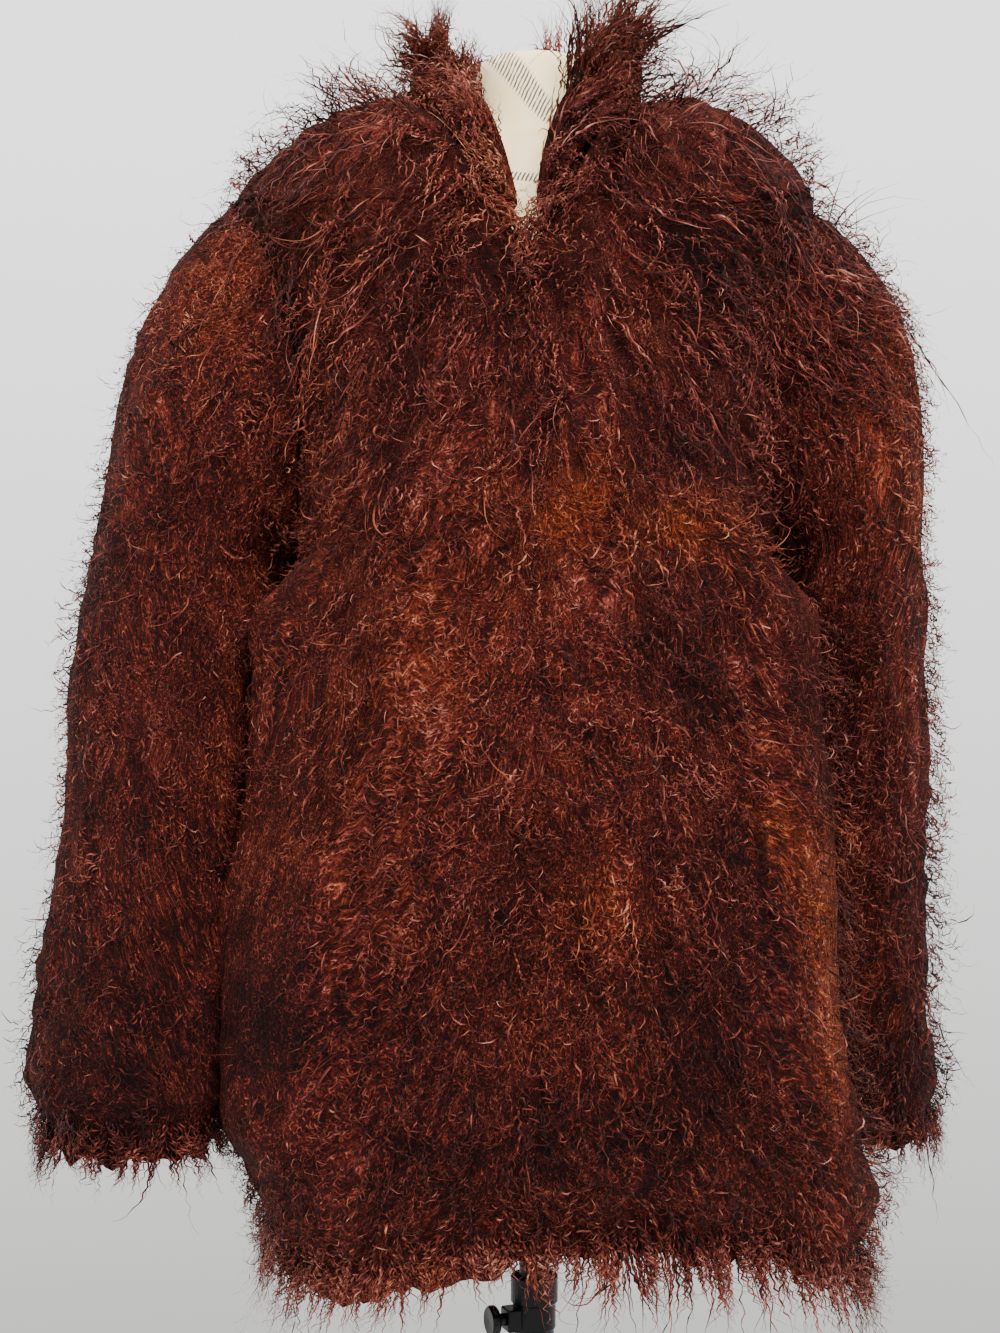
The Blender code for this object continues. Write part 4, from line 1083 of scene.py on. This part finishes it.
def coloured(points, rng):
    """How rusty and how light each lock is, from slow noise, the patches and chance. It is darker at the
    viewer's left. It is darker low down as painted shade, and the collar and a band along the hem are
    painted lighter against the shade there."""
    rust = layered(points, RUST_NOISE, RUST_BASE)
    light = layered(points, LIGHT_NOISE, LIGHT_BASE)
    x, y, z = points.T
    for patch in PATCHES:
        cosine, sine = math.cos(math.radians(patch.slant)), math.sin(math.radians(patch.slant))
        across = ((x - patch.x) * cosine + (z - patch.z) * sine) / patch.half_x
        down = ((z - patch.z) * cosine - (x - patch.x) * sine) / patch.half_z
        share = np.exp(-(across ** 2 + down ** 2)) * (y < 0.02)
        rust += patch.rust * share
        light += patch.light * share
    rust += rng.normal(0, 0.10, len(points))
    light += rng.normal(0, 0.06, len(points))
    # Painted shade low down, and painted light on the collar and along the hem.
    light -= 0.09 * fade(0.72, 1.00, z) - 0.10 * soft_step(1.38, 1.42, z)
    light += 0.18 * fade(0.655, 0.72, z) - 0.07 * soft_step(0.19, 0.24, -x)
    return rust, light


def locks_on(name, rng):
    """The locks of one piece: what the strands of each share, and a search tree over their roots.
    They are longer and lift off more on the shoulders and where the photo's outline juts out, and
    shorter in front of the pole."""
    points, row, edge = roots_on(name, LOCKS_PER_CM2, LOCKS_AT_EDGE, rng)
    count = len(points)
    x, _, z = points.T
    rust, light = coloured(points, rng)
    on_top = soft_step(1.24, 1.32, z) * soft_step(0.04, 0.08, np.abs(x))
    on_top *= 1 + 0.6 * soft_step(0.12, 0.16, x)
    juts = np.exp(-((x - 0.195) / 0.032) ** 2 - ((z - 1.315) / 0.040) ** 2)
    by_pole = edge * np.exp(-((x - POLE_X) / 0.045) ** 2) * (z < 0.75)
    in_sleeve, in_collar = name in SLEEVES, name == "collar"
    lock = {
        "root": points, "rise": row * in_collar, "rust": rust, "light": light, "top": on_top,
        "length": np.exp(rng.normal(0, 0.20, count)) * (
            1 + (LONGER_EDGE - 0.3 * in_sleeve) * edge + 0.30 * on_top + 0.7 * juts - 0.65 * by_pole),
        "lift": np.abs(rng.normal(0, 0.0050, count)) + 0.006 * (rng.random(count) < 0.12)
                + (0.018 * on_top + 0.014 * in_collar + 0.030 * juts) * rng.random(count),
        "drift": rng.normal(0, 0.004, count),
        "sway": rng.normal(0, 0.17, count) * (1 + 1.2 * in_collar) * (
            0.6 + 0.4 * soft_step(*LOOSER, z)) + rng.normal(0, 0.5, count) * near_v(points),
        "phase": rng.uniform(0, 2 * np.pi, count),
        "wave": CRIMP_LENGTH * np.exp(rng.normal(0, 0.22, count)),
        "swing": CRIMP_DEPTH * np.exp(rng.normal(0, 0.30, count)),
        "hand": np.where(rng.random(count) < 0.5, -1.0, 1.0),
    }
    tree = KDTree(count)
    for k, point in enumerate(points.tolist()):
        tree.insert(point, k)
    tree.balance()
    return lock, tree


def fur_on(name, kind, locks, seed, material):
    """One kind of strand over one piece of hide, gathered into the piece's locks."""
    rng = np.random.default_rng(seed)
    lock, tree = locks
    points, row, edge = roots_on(name, kind.per_cm2, kind.edge, rng, kind.on_top)
    count = len(points)
    own = np.array([tree.find(point)[1] for point in points.tolist()])
    size = norm(on_hide(points)[1])
    length = kind.length * np.exp(rng.normal(0, kind.vary, count)) * (
        0.55 + 0.45 * soft_step(0.004, 0.034, size))
    length *= lock["length"][own] if kind.name != "hooks" else 1.0
    if name == "collar":
        length *= np.where(points[:, 0] > 0, 1.1, 0.75) - 0.35 * soft_step(0.0, 0.03, points[:, 1])
        length = np.minimum(length, LONGEST_UPRIGHT * rng.uniform(0.75, 1.0, count))
    start = kind.start * rng.uniform(0.6, 1.2, count) * (1 - 0.9 * edge * rng.random(count))
    end = kind.end * rng.uniform(0.80, 1.05, count)
    end = start + (end - start) * (1 - 0.7 * edge * rng.random(count))
    course = (length, start, end, lock["lift"][own], lock["drift"][own])
    lines, outs = paths(points, row * (name == "collar"), *course,
                        lock["sway"][own] + rng.normal(0, 0.06, count))
    roots = lock["root"][own]
    mid_lines, _ = paths(roots, lock["rise"][own], *course, lock["sway"][own])
    t = np.linspace(0, 1, STEPS)[None, :, None]
    join = kind.join + (0.35 * edge + 0.30 * lock["top"][own]) * (kind.join > 0)
    pull = (join * rng.uniform(0.75, 1.1, count))[:, None, None] * t ** 1.4
    lines += (mid_lines - lines) * np.minimum(pull, 0.95)
    clear = (across_v(lines, 0.60)[0].mean(1) < 0.3) | (rng.random(count) < 0.08)
    points, roots, own, edge, lines, outs, mid_lines = (
        each[clear] for each in (points, roots, own, edge, lines, outs, mid_lines))
    count = len(points)
    part_at_v(lines, rng)
    first = unit(mid_lines[:, 1] - mid_lines[:, 0])
    wave = kind.wave * lock["wave"][own] * np.exp(rng.normal(0, 0.15, count))
    before = ((points - roots) * first).sum(-1)
    phase = lock["phase"][own] + 2 * np.pi * before / wave + rng.normal(0, 0.7, count)
    pair, crest, t = crimp(lines, outs, kind, phase, wave, kind.swing * lock["swing"][own],
                           lock["hand"][own], rng)
    kept = within(pair, *np.array(cad_box))
    pair, crest, own, edge = (each[kept] for each in (pair, crest, own, edge))
    count, shape = len(own), crest.shape
    # Strands at a free edge are painted lighter against the shade there.
    light = lock["light"][own] + rng.normal(0, 0.05, count) + 0.14 * edge
    rust = lock["rust"][own] + rng.normal(0, 0.06, count)
    # A hook's crest highlight is painted along its middle.
    if kind.name == "hooks":
        crest = np.sin(np.pi * t) ** 1.5 * rng.uniform(0.3, 1.5, (count, 1))
    # Painted shade darkens each strand towards its root and painted light lightens it towards its tip.
    # The rust added at the tip is painted light shining through it.
    made = ribbon_object(f"{name}_{kind.name}", pair, {
        "tone": light[:, None] + 0.14 * t - 0.28 * fade(0.0, 0.40, t),
        "rust": np.clip(rust[:, None] + 0.12 * t ** 2, 0, 1) * np.ones(shape),
        "crest": crest, "along": np.broadcast_to(3.0 * t, shape),
        "lock": np.broadcast_to(rng.uniform(0, 900, (count, 1)), shape),
    }, material)
    put_marks(made, {"across": np.tile([0.0, kind.hairs], count * kind.points)})
    return made


# How much of the fur's reach the under-fur fills where it is pressed, and how much more beside the
# opening between sleeve and hip, and there where it gapes, and right below the arm.
PRESSED_SHARE, BESIDE_SHARE, GAP_SHARE, UNDER_ARM_SHARE = 1.08, 0.14, 0.32, 0.5
RAGGED = (0.008, 0.011)     # how far the under-fur's edge hangs past the hide, and its tufts further
UNDER_FINER, UNDER_LUMP = 2, 0.0045      # the under-fur's finer grid, and the height of its tufts
UNDER_GAP = 0.0004          # how far the under-fur starts above the hide's face


def under_fur_on(name, out, material):
    """The thick under-fur of one piece, over its hide's normals, with its colours as marks."""
    piece, inside = PIECES[name], PANELS[name][0]
    closed, in_collar = name in SLEEVES, name == "collar"
    x, z = inside[..., 0], inside[..., 2]
    row_away, column_away = from_edge(name)
    full = (soft_step(-0.3 * EDGE_BAND, 1.5 * EDGE_BAND, row_away)
            * soft_step(0, 0.3 * EDGE_BAND, column_away))
    gapes = soft_step(0.70, 0.75, z) * fade(0.86, 0.95, z)
    under_arm = np.exp(-((z - 1.10) / 0.03) ** 2)
    closes = PRESSED_SHARE + (BESIDE_SHARE + GAP_SHARE * gapes) * (x < 0) + UNDER_ARM_SHARE * under_arm
    share = piece.under_share + (closes - piece.under_share) * pressed_at(name)
    low, deep = (finer(grid, UNDER_FINER, closed) for grid in (
        inside + out * (HIDE_THICK + UNDER_GAP),
        reach_at(name) * (share * (0.03 + 0.97 * full))[..., None]))
    rim, step_in = low[piece.free_row], low[2 if piece.free_row == 0 else -3]
    at_edge = fade(0, 0.8 * EDGE_BAND, norm(low - rim[None]))
    if in_collar:
        at_edge *= soft_step(-0.02, 0.02, low[..., 1])
    tufts = RAGGED[0] + RAGGED[1] * np.maximum(lumps(rim, 0.011, 15.0) + 0.25, 0)
    if not (closed or in_collar):
        tufts -= 0.006 * np.tanh((rim[:, 0] - PARTING_X) / 0.02)
    low = low + unit(rim - step_in)[None] * (at_edge * tufts[None])[..., None]
    size = norm(deep, True)
    tuft = layered(low, ((0.75, 0.016, 9.0), (0.5, 0.008, 4.0)))
    deep *= 1 + (UNDER_LUMP * tuft[..., None] * soft_step(0.004, 0.016, size)) / np.maximum(size, 0.004)
    made = thick_sheet(name + "_under_fur", low, low + deep, closed, material)
    stands = np.broadcast_to(np.linspace(0, 1, len(low))[:, None], low.shape[:2]) * in_collar
    across, along = flow_over(low + deep, stands)
    rust, light = coloured((low + deep).reshape(-1, 3), np.random.default_rng(SEED))
    marks = {"across": across, "along": along, "rust": rust, "tone": light}
    put_marks(made, {mark: np.concatenate([values.ravel()] * 2) for mark, values in marks.items()})
    return made


lamb = finish("long_lamb_fur_dyed_chestnut", lamb_fur, Roughness=0.55, Specular_IOR_Level=0.16)
shade = finish("lamb_under_fur_dyed_chestnut", under_fur, Roughness=0.85, Specular_IOR_Level=0.08)
hide_side = finish("tanned_lamb_hide_suede", suede, Roughness=0.9, Sheen_Weight=0.3)
for number, (name, (inside, outside)) in enumerate(PANELS.items()):
    out = unit(outside - inside)
    hide = thick_sheet(name + "_hide", inside, inside + out * HIDE_THICK, name in SLEEVES, hide_side)
    below = under_fur_on(name, out, shade)
    seed = SEED + 10 * number
    locks = locks_on(name, np.random.default_rng(seed))
    pieces = [below] + [fur_on(name, kind, locks, seed + k, lamb) for k, kind in enumerate(KINDS, 1)]
    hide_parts(name)
    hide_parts(name)

# ------------------------------------------------------------------ the form's cover and the stand
COVER_INSET = 0.0004        # the cover's cloth lies this far inside the frame's block
ROUND_FORM = 96


def form_ring(level):
    """One level of the form's cover, as a ring of points."""
    power = 2 / level.square
    ring = []
    for k in range(ROUND_FORM):
        turn = 2 * math.pi * k / ROUND_FORM
        half_y = level.front if math.cos(turn) >= 0 else level.back
        ring.append(((level.half - COVER_INSET) * signed_power(math.sin(turn), power),
                     -(half_y - COVER_INSET) * signed_power(math.cos(turn), power), level.z))
    return ring


rings = np.array([form_ring(between(FORM, k / 3)) for k in range(3 * len(FORM) - 2)])
walls = quads_of(len(rings), ROUND_FORM, True)
half_round = np.arange(ROUND_FORM // 2 - 1)
beyond = ROUND_FORM - 1 - half_round
lid = np.stack([half_round, half_round + 1, beyond - 1, beyond], -1)
top = lid + (len(rings) - 1) * ROUND_FORM
cover = mesh_object(
    "form_cover", rings.reshape(-1, 3), np.concatenate([walls, lid[:, ::-1], top]),
    finish("form_cotton_jersey_printed_hatch", printed_cotton, Roughness=0.88, Sheen_Weight=0.2))
turn_out(cover)
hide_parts("dress_form")

nylon = finish("clamp_moulded_nylon", moulded_nylon, Roughness=0.30, Specular_IOR_Level=0.16)
mast_paint, pole_paint = (
    finish(name, partial(painted_steel, roughness), Roughness=roughness, Specular_IOR_Level=0.22)
    for name, roughness in (("mast_black_paint", 0.42), ("pole_black_paint", 0.36)))
iron = finish("base_cast_iron_painted", cast_iron, Roughness=0.5, Specular_IOR_Level=0.22)
for name, material in (("mast", mast_paint), ("pole", pole_paint), ("clamp_cup", nylon),
                       ("clamp_screw", nylon), ("base", iron)):
    materials = bpy.data.objects[name].data.materials
    materials.clear()
    materials.append(material)

# ------------------------------------------------------------------ the floor, the light and the camera
FLOOR_RADIUS, ROUND_FLOOR = 1.6, 96
floor_mesh = bpy.data.meshes.new("studio_floor")
floor_mesh.from_pydata([(FLOOR_RADIUS * math.cos(a), FLOOR_RADIUS * math.sin(a), 0.0)
                        for a in (2 * math.pi * k / ROUND_FLOOR for k in range(ROUND_FLOOR))],
                       [], [list(range(ROUND_FLOOR))])
floor_mesh.materials.append(finish("plain_pale_floor", Roughness=0.9, Base_Color=linear("#d9dadb")))
linked("studio_floor", floor_mesh)

world = bpy.data.worlds.new("pale_studio")
bpy.context.scene.world = world
world.use_nodes = True
sky = world.node_tree.nodes["Background"]
node = partial(add, world.node_tree)
height = node("SeparateXYZ", links={0: node("TexCoord", out="Generated")}, out=2)
glow = node("ValToRGB", {"stops": [(0.2, "#a9a9a7"), (0.75, "#ffffff")]},
            {0: summed(node, (height, 1.0), 0.5)})
world.node_tree.links.new(glow, sky.inputs["Color"])
sky.inputs["Strength"].default_value = 2.2

for lamp in table("Lamp", "name place aim size watts",
                  ("key", (0.25, -1.4, 2.6), (0, 0, 1.1), 1.2, 78),
                  ("side", (-1.9, -1.0, 1.6), (0, 0, 1.0), 1.0, 10)):
    data = bpy.data.lights.new(lamp.name, "AREA")
    data.size, data.energy = lamp.size, lamp.watts
    light = linked(lamp.name, data)
    light.location = lamp.place
    light.rotation_euler = (Vector(lamp.aim) - Vector(lamp.place)).to_track_quat("-Z", "Y").to_euler()

camera_data = bpy.data.cameras.new("camera")
camera_data.lens, camera_data.sensor_width = 55.94, 36.0
camera = linked("camera", camera_data)
camera.location = (-0.024, -1.45, 1.04)
camera.rotation_euler = (math.radians(90), 0, 0)
bpy.context.scene.camera = camera
